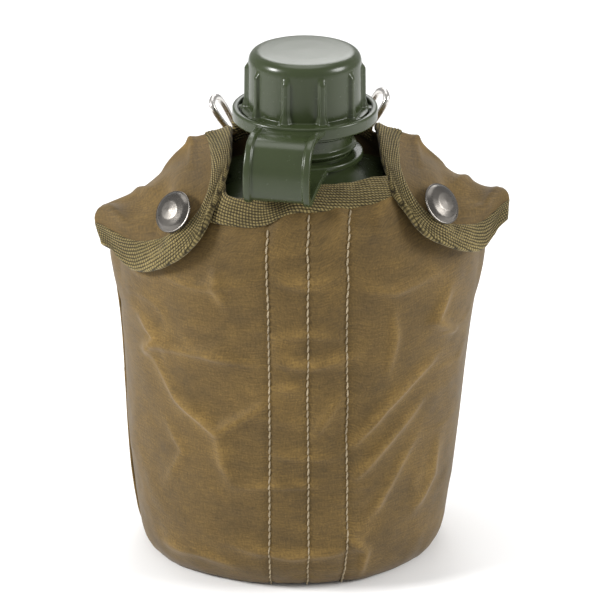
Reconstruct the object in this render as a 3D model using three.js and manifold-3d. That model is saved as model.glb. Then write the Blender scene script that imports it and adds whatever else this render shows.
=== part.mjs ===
// A one-litre kidney-shaped field canteen in its felt-lined canvas carrying cover.
// Millimetres, +Z up. The origin is on the flat base, under the axis of the neck; -Y is the front, which
// bulges away from the hip, and +Y is the hollow back with the wire belt hook.
import * as THREE from "three";
import { mergeVertices } from "three/addons/utils/BufferGeometryUtils.js";
import Module from "manifold-3d";

const wasm = await Module();
wasm.setup();

// ---------------------------------------------------------------- driving dimensions
const CLEAR = 0.3; // gap kept between pieces that touch
const WALL = 2.0; // blow-moulded bottle wall
const FELT = { inner: 1.6, outer: 2.5 }; // felt lining, measured outwards from the bottle
const CANVAS = { inner: 3.3, outer: 4.5 }; // canvas cover, measured outwards from the bottle
const CANVAS_T = CANVAS.outer - CANVAS.inner;
const BASE_Z = 4.5; // underside of the bottle: canvas and felt lie below it
const LINING = { low: 0.6, high: 6.5 }; // levels between which the back of the lining runs
const TAPE_W = 12; // width of edge-binding tape that shows on each face
const TAPE_T = 2.6; // tape, canvas and tape again
const EDGE_ROUND = 0.6; // flat chamfer on small moulded edges
const NECK = { radius: 17.6, bore: 15.4, shoulder: 156, top: 201 };
const FLANGE = { radius: 19.9, low: 166.9, rim: 169.2, top: 170.4 };
const THREAD = { pitch: 5, depth: 1.5, root: 2.2, crest: 1.2, sink: 0.4, steps: 20, runOut: 4 };
const NECK_THREAD = { low: 172.6, turns: 3.25 };
const CAP_THREAD = { low: NECK_THREAD.low + 1.5 * THREAD.pitch, turns: 1.5 }; // half a pitch out of step
const CAP = { radius: 21.7, bore: 19.5, low: 176, top: 206, fillet: 5.6, crown: 0.2, roof: 2.4 };
const CAP_LIP = { out: 0.9, low: 0.8, high: 1.8, top: 2.3 }; // bead round the foot of the cap
const RIBS = { count: 10, turn: 0.25, radius: 1.9, sink: 0.75, rise: 1.6, drop: 0.6, under: 0.9 };
const CAP_FLANGE = { radius: 24.3, low: 181.5, high: 183.3 };
const SEAL = { radius: 18.9, thick: 1.8 };
const NECK_RING = { inner: 17.95, outer: 22.2, low: 163.9, high: 166.3 };
const CAP_RING = { lip: 22.1, inner: 25.0, outer: 27.6, low: 178.9, ledge: 180.9, high: 184 };
const STRAP = { width: 25, thick: 1.7, rib: 2.6, ribThick: 2.5, yaw: THREE.MathUtils.degToRad(-15.4) };
const WIRE_R = 1.3;
const HOOK_BAR = { y: 38.3, z: 147, half: 18.5 };
const HOOK_ROLL = THREE.MathUtils.degToRad(-1.5); // the hook hangs a little crooked in its sleeve
const SNAP = { cap: 8.2, socket: 5, socketHole: 3.4, stud: 2.2, plate: 4, shank: 1.5 };
const FRONT = -Math.PI / 2; // turn angle of the front centre

// ---------------------------------------------------------------- materials
const material = (color, roughness, metalness = 0) =>
  new THREE.MeshStandardMaterial({ color, roughness, metalness });
const GREEN = material(0x475239, 0.32);
const CANVAS_TAN = material(0x7d6440, 0.9);
const TAPE_OLIVE = material(0x7a7148, 0.95);
const FELT_GREY = material(0x34332f, 1.0);
const NICKEL = material(0xa8a4a0, 0.3, 1.0);
const THREAD_BUFF = material(0xc8b288, 0.8);
const SEAL_BLACK = material(0x1c1c1c, 0.8);

// ---------------------------------------------------------------- solids
const canteen = new THREE.Group();

function add(name, geometry, finish, parent = canteen) {
  const mesh = new THREE.Mesh(geometry, finish);
  mesh.name = name;
  parent.add(mesh);
  return mesh;
}

// A closed geometry as a manifold-3d solid, turned to face outwards.
function solid(geometry) {
  const bare = geometry.index ? geometry.clone() : geometry;
  bare.deleteAttribute("normal");
  bare.deleteAttribute("uv");
  const merged = mergeVertices(bare, 1e-4);
  const triVerts = new Uint32Array(merged.index.array);
  const vertProperties = merged.attributes.position.array;
  const made = new wasm.Manifold(new wasm.Mesh({ numProp: 3, vertProperties, triVerts }));
  if (made.volume() > 0) return made;
  for (let i = 0; i < triVerts.length; i += 3) {
    [triVerts[i + 1], triVerts[i + 2]] = [triVerts[i + 2], triVerts[i + 1]];
  }
  return new wasm.Manifold(new wasm.Mesh({ numProp: 3, vertProperties, triVerts }));
}

function geometryOf(manifold) {
  const mesh = manifold.getMesh();
  const geometry = new THREE.BufferGeometry();
  geometry.setAttribute("position", new THREE.BufferAttribute(new Float32Array(mesh.vertProperties), 3));
  geometry.setIndex(new THREE.BufferAttribute(new Uint32Array(mesh.triVerts), 1));
  return geometry;
}

const joined = (...parts) => parts.reduce((sum, part) => sum.add(part));

function smoothLine(points) {
  return new THREE.CatmullRomCurve3(points, false, "centripetal");
}

// The skin of a grid of points. at(i, j) gives a point; wrap closes the first direction on itself.
function skinOf(columns, rows, at, triangles, points, wrap) {
  const first = points.length / 3;
  const width = wrap ? columns : columns + 1;
  for (let j = 0; j <= rows; j++) {
    for (let i = 0; i < width; i++) points.push(...at(i / columns, j / rows).toArray());
  }
  const index = (i, j) => first + j * width + (i % width);
  for (let j = 0; j < rows; j++) {
    for (let i = 0; i < columns; i++) {
      const [a, b, c, d] = [index(i, j), index(i + 1, j), index(i + 1, j + 1), index(i, j + 1)];
      triangles.push(a, b, c, a, c, d);
    }
  }
  return index;
}

// A curved sheet with thickness: outer and inner faces joined by rims along all four edges.
function sheet(columns, rows, outer, inner) {
  const points = [];
  const triangles = [];
  const top = skinOf(columns, rows, outer, triangles, points, false);
  const reversed = [];
  const under = skinOf(columns, rows, inner, reversed, points, false);
  for (let k = 0; k < reversed.length; k += 3) triangles.push(reversed[k], reversed[k + 2], reversed[k + 1]);
  const rim = (a, b, c, d) => triangles.push(a, c, b, b, c, d);
  for (let i = 0; i < columns; i++) {
    rim(top(i, 0), top(i + 1, 0), under(i, 0), under(i + 1, 0));
    rim(top(i + 1, rows), top(i, rows), under(i + 1, rows), under(i, rows));
  }
  for (let j = 0; j < rows; j++) {
    rim(top(0, j + 1), top(0, j), under(0, j + 1), under(0, j));
    rim(top(columns, j), top(columns, j + 1), under(columns, j), under(columns, j + 1));
  }
  return solid(indexed(points, triangles));
}

// A closed loft round the vertical axis, with flat ends.
function loft(columns, rows, at) {
  const points = [];
  const triangles = [];
  const index = skinOf(columns, rows, at, triangles, points, true);
  for (const [j, flip] of [[0, true], [rows, false]]) {
    const centre = new THREE.Vector3();
    for (let i = 0; i < columns; i++) centre.add(at(i / columns, j / rows));
    const hub = points.length / 3;
    points.push(...centre.divideScalar(columns).toArray());
    for (let i = 0; i < columns; i++) {
      if (flip) triangles.push(hub, index(i + 1, j), index(i, j));
      else triangles.push(hub, index(i, j), index(i + 1, j));
    }
  }
  return solid(indexed(points, triangles));
}

function indexed(points, triangles) {
  const geometry = new THREE.BufferGeometry();
  geometry.setAttribute("position", new THREE.Float32BufferAttribute(points, 3));
  geometry.setIndex(triangles);
  return geometry;
}

// A lathe about +Z from [radius, height] pairs.
function turned(profile, segments = 32) {
  const points = profile.map(([r, z]) => new THREE.Vector2(r, z));
  const closed = profile[0][0] > 0 ? [...points, points[0].clone()] : points;
  return solid(new THREE.LatheGeometry(closed, segments).rotateX(Math.PI / 2));
}

const drum = (radius, low, high, segments) =>
  turned([[0, low], [radius, low], [radius, high], [0, high]], segments);

function arc(centreR, centreZ, radius, from, to, steps) {
  return Array.from({ length: steps + 1 }, (_, i) => {
    const angle = THREE.MathUtils.degToRad(from + ((to - from) * i) / steps);
    return [centreR + radius * Math.cos(angle), centreZ + radius * Math.sin(angle)];
  });
}

// A right-hand screw thread: side +1 stands out from a neck, side -1 stands in from a bore.
function screwThread(wall, side, low, turns) {
  const steps = Math.round(turns * THREAD.steps);
  const points = [];
  const triangles = [];
  for (let i = 0; i <= steps; i++) {
    const angle = (2 * Math.PI * i) / THREAD.steps;
    const z = low + (THREAD.pitch * i) / THREAD.steps;
    const grow = Math.min(1, (i + 0.5) / THREAD.runOut, (steps - i + 0.5) / THREAD.runOut);
    const rootR = wall - side * THREAD.sink;
    const crestR = wall + side * THREAD.depth * grow;
    const corners = [
      [rootR, -THREAD.root],
      [crestR, -THREAD.crest],
      [crestR, THREAD.crest],
      [rootR, THREAD.root],
    ];
    for (const [r, dz] of corners) points.push(r * Math.cos(angle), r * Math.sin(angle), z + dz / 2);
  }
  for (let i = 0; i < steps; i++) {
    for (let k = 0; k < 4; k++) {
      const [a, b] = [4 * i + k, 4 * i + ((k + 1) % 4)];
      triangles.push(a, b, b + 4, a, b + 4, a + 4);
    }
  }
  const end = 4 * steps;
  triangles.push(0, 2, 1, 0, 3, 2, end, end + 1, end + 2, end, end + 2, end + 3);
  return solid(indexed(points, triangles));
}

// ---------------------------------------------------------------- the kidney-shaped bottle body
// Sections from the base to the neck: height, half width, half depth, backward sweep of the ends, squareness.
const SECTIONS = [
  [BASE_Z, 44, 24, 8, 2.4],
  [BASE_Z + 1, 48.5, 28.5, 10, 2.5],
  [9.5, 51.5, 32, 13, 2.6],
  [20, 53.8, 34, 16, 2.6],
  [50, 58.5, 35.5, 18, 2.6],
  [85, 63, 36.5, 19, 2.6],
  [113, 66, 36.5, 18, 2.7],
  [129, 65.5, 36, 16, 2.8],
  [140, 60, 34.5, 12, 2.9],
  [148, 50.5, 31.5, 8, 2.8],
  [154.5, 38.5, 27.5, 4.5, 2.6],
  [159, 27, 22.5, 1.5, 2.3],
  [162, 19.5, 19, 0, 2],
];
const TOP_SECTION = SECTIONS.length - 1;

function sectionAt(level) {
  const at = THREE.MathUtils.clamp(level, 0, TOP_SECTION);
  const i = Math.min(Math.floor(at), TOP_SECTION - 1);
  const f = at - i;
  const row = (k) => SECTIONS[THREE.MathUtils.clamp(k, 0, TOP_SECTION)];
  const [p0, p1, p2, p3] = [row(i - 1), row(i), row(i + 1), row(i + 2)];
  return p1.map((_, k) => {
    const [m1, m2] = [(p2[k] - p0[k]) / 2, (p3[k] - p1[k]) / 2];
    const [f2, f3] = [f * f, f * f * f];
    const fromFirst = (2 * f3 - 3 * f2 + 1) * p1[k] + (f3 - 2 * f2 + f) * m1;
    return fromFirst + (3 * f2 - 2 * f3) * p2[k] + (f3 - f2) * m2;
  });
}

// A point on the bottle at a turn angle about +Z and a level counted in sections.
function bottlePoint(turn, level) {
  const [z, halfWidth, halfDepth, sweep, power] = sectionAt(level);
  const angle = Math.atan2(halfDepth * Math.sin(turn), halfWidth * Math.cos(turn));
  const [c, s] = [Math.cos(angle), Math.sin(angle)];
  const reach = (Math.abs(c / halfWidth) ** power + Math.abs(s / halfDepth) ** power) ** (-1 / power);
  const x = reach * c;
  return new THREE.Vector3(x, reach * s + sweep * ((x / halfWidth) ** 2 - 0.4), z);
}

function normalTo(at, u, v, step = 0.01) {
  const across = at(u + step, v).sub(at(u - step, v));
  const along = at(u, v + step).sub(at(u, v - step));
  return across.cross(along).normalize();
}

// The cloth stands further off the bottle at the outer end of each shoulder, and round the foot.
const LOOSE = { shoulder: 2.5, from: 6, to: 8, spread: 8, foot: 4, footFrom: 3, footTo: 5.5 };
function slack(turn, level) {
  const up = THREE.MathUtils.smoothstep(level, LOOSE.from, LOOSE.to) * Math.cos(turn) ** LOOSE.spread;
  const down = 1 - THREE.MathUtils.smoothstep(level, LOOSE.footFrom, LOOSE.footTo);
  return LOOSE.shoulder * up + LOOSE.foot * down;
}

// The same point lifted off the bottle along its outward normal, never below the base.
function liftedPoint(turn, level, lift) {
  const inside = THREE.MathUtils.clamp(level, 0.02, TOP_SECTION - 0.02);
  const loose = lift > FELT.outer ? slack(turn, level) : 0;
  const point = bottlePoint(turn, level).addScaledVector(normalTo(bottlePoint, turn, inside), lift + loose);
  point.z = Math.max(point.z, 0.15 + Math.max(0, CANVAS.outer - lift)); // the layers stack up under the foot
  return point;
}

const onTurn = (from, to, levelFrom, levelTo, lift) => (u, v) => {
  const turn = from + (to - from) * u;
  const [low, high] = [levelFrom, levelTo].map((l) => (typeof l === "function" ? l(turn) : l));
  return liftedPoint(turn, low + (high - low) * v, lift);
};
const wrapped = (from, to, low, high, layer) => [
  onTurn(from, to, low, high, layer.outer),
  onTurn(from, to, low, high, layer.inner),
];

function bottle() {
  const fullTurn = (lift, low, high) => onTurn(0, 2 * Math.PI, low, high, lift);
  const body = loft(36, 16, fullTurn(0, 0, TOP_SECTION));
  const hollow = loft(20, 9, fullTurn(-WALL, 0.15, TOP_SECTION - 0.4));
  const { radius, bore, shoulder, top } = NECK;
  const neck = turned([
    [0, shoulder],
    [radius, shoulder],
    [radius, FLANGE.low],
    [FLANGE.radius, FLANGE.rim],
    [radius + 0.6, FLANGE.top],
    [radius, FLANGE.top],
    [radius, top - 0.8],
    [radius - 0.8, top],
    [0, top],
  ]);
  const mouth = drum(bore, shoulder - 4, top + 1);
  const thread = screwThread(radius, 1, NECK_THREAD.low, NECK_THREAD.turns);
  return joined(body, neck, thread).subtract(hollow).subtract(mouth);
}

// ---------------------------------------------------------------- cap, seal and retaining strap
function cap() {
  const { radius, bore, low, top, fillet, crown, roof } = CAP;
  const outside = [
    [0, top + crown],
    ...arc(radius - fillet, top - fillet, fillet, 90, 0, 5),
    [radius, CAP_FLANGE.high + 0.4],
    [CAP_FLANGE.radius, CAP_FLANGE.high],
    [CAP_FLANGE.radius, CAP_FLANGE.low],
    [radius, CAP_FLANGE.low - 0.2],
    [radius, low + CAP_LIP.top],
    [radius + CAP_LIP.out, low + CAP_LIP.high],
    [radius + CAP_LIP.out, low + CAP_LIP.low],
    [radius, low],
  ];
  const shell = turned([...outside, [bore, low], [bore, top - roof], [0, top - roof]]);
  const ribLow = CAP_FLANGE.high;
  const ribHigh = top - fillet + RIBS.rise;
  const reach = radius - RIBS.sink;
  const ribs = Array.from({ length: RIBS.count }, (_, i) => {
    const rib = new THREE.CapsuleGeometry(RIBS.radius, ribHigh - ribLow, 2, 7).rotateX(Math.PI / 2);
    const turn = 2 * Math.PI * (i / RIBS.count) + FRONT + RIBS.turn;
    const middle = (ribLow + ribHigh) / 2 - RIBS.drop;
    return solid(rib.translate(reach * Math.cos(turn), reach * Math.sin(turn), middle));
  });
  const trimmed = joined(...ribs).subtract(drum(bore + 1, low, top));
  const aboveFlange = trimmed.subtract(drum(CAP_RING.outer, low, ribLow - RIBS.under));
  return joined(shell, aboveFlange, screwThread(bore, -1, CAP_THREAD.low, CAP_THREAD.turns));
}

function capSeal() {
  const top = CAP.top - CAP.roof - CLEAR / 2;
  return drum(SEAL.radius, top - SEAL.thick, top, 32);
}

function neckRing() {
  const { inner, outer, low, high } = NECK_RING;
  return turned([
    [inner, low],
    [outer - EDGE_ROUND, low],
    [outer, low + EDGE_ROUND],
    [outer, high - EDGE_ROUND],
    [outer - EDGE_ROUND, high],
    [inner, high],
  ]);
}

function capRing() {
  const { lip, inner, outer, low, ledge, high } = CAP_RING;
  const round = 0.8;
  return turned([
    [lip, low],
    [outer - round, low],
    [outer, low + round],
    [outer, high - round],
    [outer - round, high],
    [inner, high],
    [inner, ledge],
    [lip, ledge],
  ]);
}

// The strap runs out from the cap ring, bows down and comes back to the neck ring: radius and height.
const STRAP_ROUTE = [
  [20, 182],
  [28, 182],
  [36, 182.9],
  [42.4, 180.6],
  [45.8, 175.2],
  [46.8, 169],
  [46.2, 164],
  [43, 161.4],
  [34, 163.2],
  [20, 165.2],
];
const STRAP_RUN = smoothLine(STRAP_ROUTE.map(([r, z]) => new THREE.Vector3(r, z, 0)));

function strapSlab(thickness, width, across) {
  const steps = 20;
  const side = (offset) =>
    Array.from({ length: steps + 1 }, (_, i) => {
      const point = STRAP_RUN.getPoint(i / steps);
      const along = STRAP_RUN.getTangent(i / steps);
      return new THREE.Vector2(point.x - along.y * offset, point.y + along.x * offset);
    });
  const shape = new THREE.Shape([...side(-STRAP.thick / 2), ...side(thickness - STRAP.thick / 2).reverse()]);
  const slab = new THREE.ExtrudeGeometry(shape, { depth: width, bevelEnabled: false });
  // shape x is radius, shape y is height, and the depth runs sideways: turn it to point forwards
  return solid(slab.translate(0, 0, across).applyMatrix4(new THREE.Matrix4().makeBasis(
    new THREE.Vector3(0, -1, 0), new THREE.Vector3(0, 0, 1), new THREE.Vector3(-1, 0, 0))));
}

function strapBand() {
  const half = STRAP.width / 2;
  const slabs = joined(
    strapSlab(STRAP.thick, STRAP.width, -half),
    strapSlab(STRAP.ribThick, STRAP.rib, -half),
    strapSlab(STRAP.ribThick, STRAP.rib, half - STRAP.rib),
  );
  const middle = (NECK_RING.high + CAP_RING.low) / 2;
  const byNeck = NECK_RING.outer + CLEAR;
  const byCap = CAP_RING.outer + CLEAR;
  const keepOut = joined(drum(byNeck, NECK.shoulder, middle, 48), drum(byCap, middle, CAP.top, 48));
  return slabs.subtract(keepOut);
}

// ---------------------------------------------------------------- canvas cover
// Level of the front panel's top edge: low at the side seams, high in front of the neck.
const EDGE = { side: 7.7, rise: 3.1, dip: 0.8, dipAt: FRONT - 0.5, dipHalf: 0.3 };
const frontEdge = (turn) => {
  const dip = EDGE.dip * Math.exp(-(((turn - EDGE.dipAt) / EDGE.dipHalf) ** 4));
  return EDGE.side + EDGE.rise * Math.abs(Math.sin(turn)) ** 0.4 - dip;
};
// Level that lies a distance below another one, measured on the cloth.
function levelBelow(turn, level, distance) {
  const here = liftedPoint(turn, level, CANVAS.outer);
  const perLevel = here.distanceTo(liftedPoint(turn, level - 1, CANVAS.outer));
  return level - distance / perLevel;
}

const SEAM = { side: 0.006, centre: 0.004 }; // half gaps at the seams, in turn angle
const RIGHT_SEAM = -SEAM.side;
const LEFT_SEAM = -Math.PI + SEAM.side;

function frontHalf(from, to) {
  const top = (turn) => levelBelow(turn, frontEdge(turn), TAPE_W + 0.9);
  return sheet(14, 9, ...wrapped(from, to, 0, top, CANVAS));
}

function frontBinding() {
  const low = (turn) => levelBelow(turn, frontEdge(turn), TAPE_W);
  const layer = { inner: CANVAS.inner - 0.5, outer: CANVAS.inner - 0.5 + TAPE_T };
  return sheet(28, 1, ...wrapped(LEFT_SEAM, RIGHT_SEAM, low, frontEdge, layer));
}

// Straight fold line on which a flap swings, from beside the neck out to the side seam.
const FOLD_IN = new THREE.Vector3(28, 20, 168);
const FOLD_OUT = new THREE.Vector3(72.5, 11.5, 138.5);
const COLLAR = { y: 27.5, z: 170.5 }; // top of the back panel behind the neck
const BACK_LEVEL = 7; // above this section the back panel leaves the bottle and rises to its top edge
const mirrored = (point, side) => new THREE.Vector3(point.x * side, point.y, point.z);

const BACK_TOP = smoothLine([
  FOLD_OUT,
  FOLD_IN.clone().lerp(FOLD_OUT, 0.66),
  FOLD_IN.clone().lerp(FOLD_OUT, 0.33),
  FOLD_IN,
  new THREE.Vector3(18, 25.5, COLLAR.z),
  new THREE.Vector3(0, COLLAR.y, COLLAR.z),
]);

// The back panel: u runs from the right seam round the back to the left one, v from the base to the top edge.
const backPoint = (lift, drop) => (u, v) => {
  const turn = SEAM.side + (Math.PI - 2 * SEAM.side) * u;
  const split = 0.72;
  if (v <= split) return liftedPoint(turn, (BACK_LEVEL * v) / split, lift);
  const side = u <= 0.5 ? 1 : -1;
  const foot = liftedPoint(turn, BACK_LEVEL, lift);
  const share = (side > 0 ? 2 * u : 2 - 2 * u) ** 1.6; // the top edge lingers at the side seam
  const head = mirrored(BACK_TOP.getPoint(share), side);
  head.z -= drop;
  const out = normalTo(bottlePoint, turn, BACK_LEVEL).setZ(0).normalize();
  head.addScaledVector(out, lift - CANVAS.outer);
  const middle = foot.clone().setZ((foot.z + head.z) / 2).addScaledVector(out, 0.5);
  const bow = new THREE.QuadraticBezierCurve3(foot, middle, head);
  return bow.getPoint((v - split) / (1 - split));
};

function backPanel() {
  return sheet(22, 13, backPoint(CANVAS.outer, 2.5), backPoint(CANVAS.inner, 2.5));
}

// A strip of tape along a line of points, standing on its edge: height up, thickness outwards.
function collarBinding() {
  const steps = 16;
  const path = Array.from({ length: steps + 1 }, (_, i) => {
    const share = -1 + (2 * i) / steps;
    return mirrored(BACK_TOP.getPoint(1 - 0.34 * Math.abs(share)), Math.sign(share) || 1);
  });
  const face = (out) => (u, v) => {
    const i = Math.round(u * steps);
    const ahead = path[Math.min(i + 1, steps)].clone().sub(path[Math.max(i - 1, 0)]);
    const outward = new THREE.Vector3(-ahead.y, ahead.x, 0).normalize();
    const point = path[i].clone().addScaledVector(outward, out);
    point.z += -2 + (TAPE_W - 5.5) * v;
    return point;
  };
  return sheet(steps, 1, face(TAPE_T / 2 + 0.6), face(-TAPE_T / 2 + 0.6));
}

// Control net of the right flap: rows run from the fold to the free edge, columns from the neck to the side.
const FLAP_NET = [
  [0, 0.25, 0.5, 0.75, 1].map((f) => FOLD_IN.clone().lerp(FOLD_OUT, f).toArray()),
  [[27.5, 9, 171], [38, 6.5, 165.5], [50, 4, 158.5], [62, 1, 151], [75.5, 4, 144.5]],
  [[28.5, -9.5, 166.3], [37, -18.5, 161], [49, -22.5, 154.5], [63, -13, 147.5], [78, 0, 141.5]],
  [[32, -27, 161.4], [41.5, -37.5, 148], [54, -36, 137.5], [66.5, -23.5, 131.5], [74, -11, 132.5]],
];

function throughPoints(values, at) {
  const last = values.length - 1;
  const i = Math.min(Math.max(Math.floor(at * last), 0), last - 1);
  const f = at * last - i;
  const value = (k) => {
    if (k < 0) return values[0].map((x, n) => 2 * x - values[1][n]);
    if (k > last) return values[last].map((x, n) => 2 * x - values[last - 1][n]);
    return values[k];
  };
  const [p0, p1, p2, p3] = [value(i - 1), value(i), value(i + 1), value(i + 2)];
  return p1.map((_, n) => {
    const a = 2 * p1[n];
    const b = p2[n] - p0[n];
    const c = 2 * p0[n] - 5 * p1[n] + 4 * p2[n] - p3[n];
    const d = 3 * p1[n] - p0[n] - 3 * p2[n] + p3[n];
    return (a + b * f + c * f * f + d * f * f * f) / 2;
  });
}

// across runs from the neck (0) to the side (1), down from the fold (0) to the free edge (1).
function flapPoint(across, down) {
  return new THREE.Vector3(...throughPoints(FLAP_NET.map((row) => throughPoints(row, across)), down));
}

function flapLifted(across, down, lift, side) {
  const inward = (x) => THREE.MathUtils.clamp(x, 0.03, 0.97);
  const normal = normalTo(flapPoint, inward(across), inward(down));
  if (normal.z < 0) normal.negate();
  return mirrored(flapPoint(across, down).addScaledVector(normal, lift), side);
}

// Outer edge of the flap and the line where its tape ends, as matching paths over (across, down).
const pathOver = (...points) => smoothLine(points.map(([x, y]) => new THREE.Vector3(x, y, 0)));
const FLAP_EDGE = pathOver(
  [0, 0.06],
  [0, 0.45],
  [0, 0.85],
  [0.03, 0.97],
  [0.14, 1],
  [0.5, 1],
  [0.8, 1],
  [1, 0.98],
);
const FLAP_INNER = pathOver(
  [0.22, 0.06],
  [0.21, 0.4],
  [0.23, 0.66],
  [0.27, 0.8],
  [0.38, 0.85],
  [0.6, 0.83],
  [0.82, 0.8],
  [1, 0.72],
);

const flapStrip = (fromPath, toPath, low, high, lift, side) => (u, v) => {
  const [a, b] = [fromPath(u), toPath(u)];
  const w = low + (high - low) * v;
  return flapLifted(a.x + (b.x - a.x) * w, a.y + (b.y - a.y) * w, lift, side);
};
const edgePath = (u) => FLAP_EDGE.getPoint(u);
const innerPath = (u) => FLAP_INNER.getPoint(u);
const foldPath = (u) => new THREE.Vector3(0.22 + 0.78 * u, 0.02, 0);

function flapCanvas(side) {
  const face = (lift) => flapStrip(innerPath, foldPath, 0.01, 1, lift, side);
  return sheet(14, 6, face(CANVAS_T / 2), face(-CANVAS_T / 2));
}

function flapBinding(side) {
  const face = (lift) => flapStrip(edgePath, innerPath, 0, 0.975, lift, side);
  return sheet(28, 2, face(TAPE_T / 2), face(-TAPE_T / 2));
}

// ---------------------------------------------------------------- snap fasteners
// The cap and socket are set through the flap; the stud stands on the front panel below them.
const SNAP_AT = { across: 0.45, down: 0.76 };
function capFrame(side) {
  const out = normalTo(flapPoint, SNAP_AT.across, SNAP_AT.down);
  if (out.z < 0) out.negate();
  return { foot: mirrored(flapPoint(SNAP_AT.across, SNAP_AT.down), side), out: mirrored(out, side) };
}

// The spot on the front panel that lies nearest to the axis of the cap.
function studFrame(side) {
  const axis = capFrame(1);
  let best = { miss: Infinity };
  for (let turn = -1.3; turn < -0.3; turn += 0.01) {
    for (let level = 7.5; level < 9.5; level += 0.02) {
      const foot = liftedPoint(turn, level, CANVAS.outer);
      const away = foot.clone().sub(axis.foot);
      const miss = away.addScaledVector(axis.out, -away.dot(axis.out)).length();
      if (miss < best.miss) best = { miss, turn, level, foot };
    }
  }
  const out = normalTo(bottlePoint, best.turn, best.level);
  return { foot: mirrored(best.foot, side), out: mirrored(out, side) };
}

function placed(manifold, frame) {
  const turn = new THREE.Quaternion().setFromUnitVectors(new THREE.Vector3(0, 0, 1), frame.out);
  const matrix = new THREE.Matrix4().compose(frame.foot, turn, new THREE.Vector3(1, 1, 1));
  return solid(geometryOf(manifold).applyMatrix4(matrix));
}

const SEGMENTS = 16;
const ON_TAPE = TAPE_T / 2 + CLEAR; // the broad cap rides on the edge of the tape
const UNDER_CLOTH = -CANVAS_T / 2 - 1; // the cloth is curved under the flat socket
const disc = (radius, low, high) => drum(radius, low, high, SEGMENTS);

function snapCap() {
  const { cap: radius } = SNAP;
  const dome = [
    [0, 0],
    [radius - 0.7, 0],
    [radius, 0.5],
    [radius - 0.6, 1],
    [radius - 2.6, 1.8],
    [radius - 5.2, 2.3],
    [0, 2.5],
  ];
  return turned(dome.map(([r, z]) => [r, z + ON_TAPE]), SEGMENTS);
}

function snapSocket() {
  const { socket, socketHole } = SNAP;
  const [low, high] = [UNDER_CLOTH - 1.2, UNDER_CLOTH];
  return turned([[socketHole, low], [socket, low], [socket, high], [socketHole, high]], SEGMENTS);
}

function snapStud() {
  const { plate, stud } = SNAP;
  const profile = [
    [0, 0.5],
    [plate, 0.5],
    [plate, 0.9],
    [stud, 1],
    [stud, 1.9],
    [stud - 0.4, 2.2],
    [0, 2.2],
  ];
  return turned(profile, SEGMENTS);
}

// Hollow rivet that holds the stud: a flange behind the canvas and a shank through it.
function studRivet() {
  const { plate, shank } = SNAP;
  const back = -CANVAS_T - 0.8;
  const flange = plate - 0.8;
  const profile = [
    [0, back - 0.6],
    [flange, back - 0.6],
    [flange, back],
    [shank, back],
    [shank, 0],
    [0, 0],
  ];
  return turned(profile, SEGMENTS);
}

// ---------------------------------------------------------------- belt hook and its webbing hanger
const HOOK_RUN = [
  [HOOK_BAR.half - 3, 0, 0],
  [HOOK_BAR.half, 0, 0.8],
  [HOOK_BAR.half + 2, -0.3, 3.5],
  [26.5, -3.2, 13.5],
  [32, -5.6, 22.5],
  [34, -5.2, 26.4],
  [33.6, -2.4, 28.6],
  [31.8, 1.6, 27.8],
  [29.8, 4.6, 24],
  [27.6, 5.6, 19.2],
  [25, 5.6, 13.5],
];

function beltHook() {
  const right = HOOK_RUN.map(([x, y, z]) => new THREE.Vector3(x, y, z));
  const left = right.map((point) => mirrored(point, -1)).reverse();
  const extrudePath = smoothLine([...left, new THREE.Vector3(0, 0, 0), ...right]);
  const section = new THREE.Shape().absarc(0, 0, WIRE_R, 0, 2 * Math.PI, false);
  const wire = new THREE.ExtrudeGeometry(section, { steps: 52, curveSegments: 3, extrudePath });
  return solid(wire.rotateY(HOOK_ROLL).translate(0, HOOK_BAR.y, HOOK_BAR.z));
}

// Webbing sewn flat on the back panel, its top turned over into a sleeve for the hook's bar.
const HANGER = { half: 13, low: 92, front: 35.5, thick: 2.2, sleeve: 3.9, bore: 2.1 };
const SLEEVE_OPEN = 1.2; // angle at which the turned-over end comes down to the front face
function hanger() {
  const { half, low, front, thick, sleeve, bore } = HANGER;
  const back = front + thick;
  const centre = new THREE.Vector2(HOOK_BAR.y, HOOK_BAR.z);
  const shape = new THREE.Shape([new THREE.Vector2(front, low), new THREE.Vector2(back, low)]);
  const meet = Math.asin((back - centre.x) / sleeve) - Math.PI / 2;
  const part = Math.asin((centre.x - front) / sleeve) + Math.PI - SLEEVE_OPEN;
  shape.absarc(centre.x, centre.y, sleeve, meet, part, false);
  shape.lineTo(front, centre.y - 1);
  shape.holes.push(new THREE.Path().absarc(centre.x, centre.y, bore, 0, 2 * Math.PI, true));
  const body = new THREE.ExtrudeGeometry(shape, { depth: 2 * half, curveSegments: 14, bevelEnabled: false });
  // shape x is +Y and shape y is +Z, so the depth runs along +X
  const upright = new THREE.Matrix4().set(0, 0, 1, -half, 1, 0, 0, 0, 0, 1, 0, 0, 0, 0, 0, 1);
  return solid(body.applyMatrix4(upright));
}

// ---------------------------------------------------------------- base, lining and stitching
function kidneyPlate(low, high, inset) {
  const at = (u, v) => {
    const point = bottlePoint(2 * Math.PI * u, 0.25);
    point.x -= Math.sign(point.x) * Math.min(Math.abs(point.x), inset) * Math.abs(point.x / 46);
    point.y *= 1 - inset / 26;
    point.z = v < 0.5 ? low : high;
    return point;
  };
  return loft(40, 1, at);
}

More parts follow.
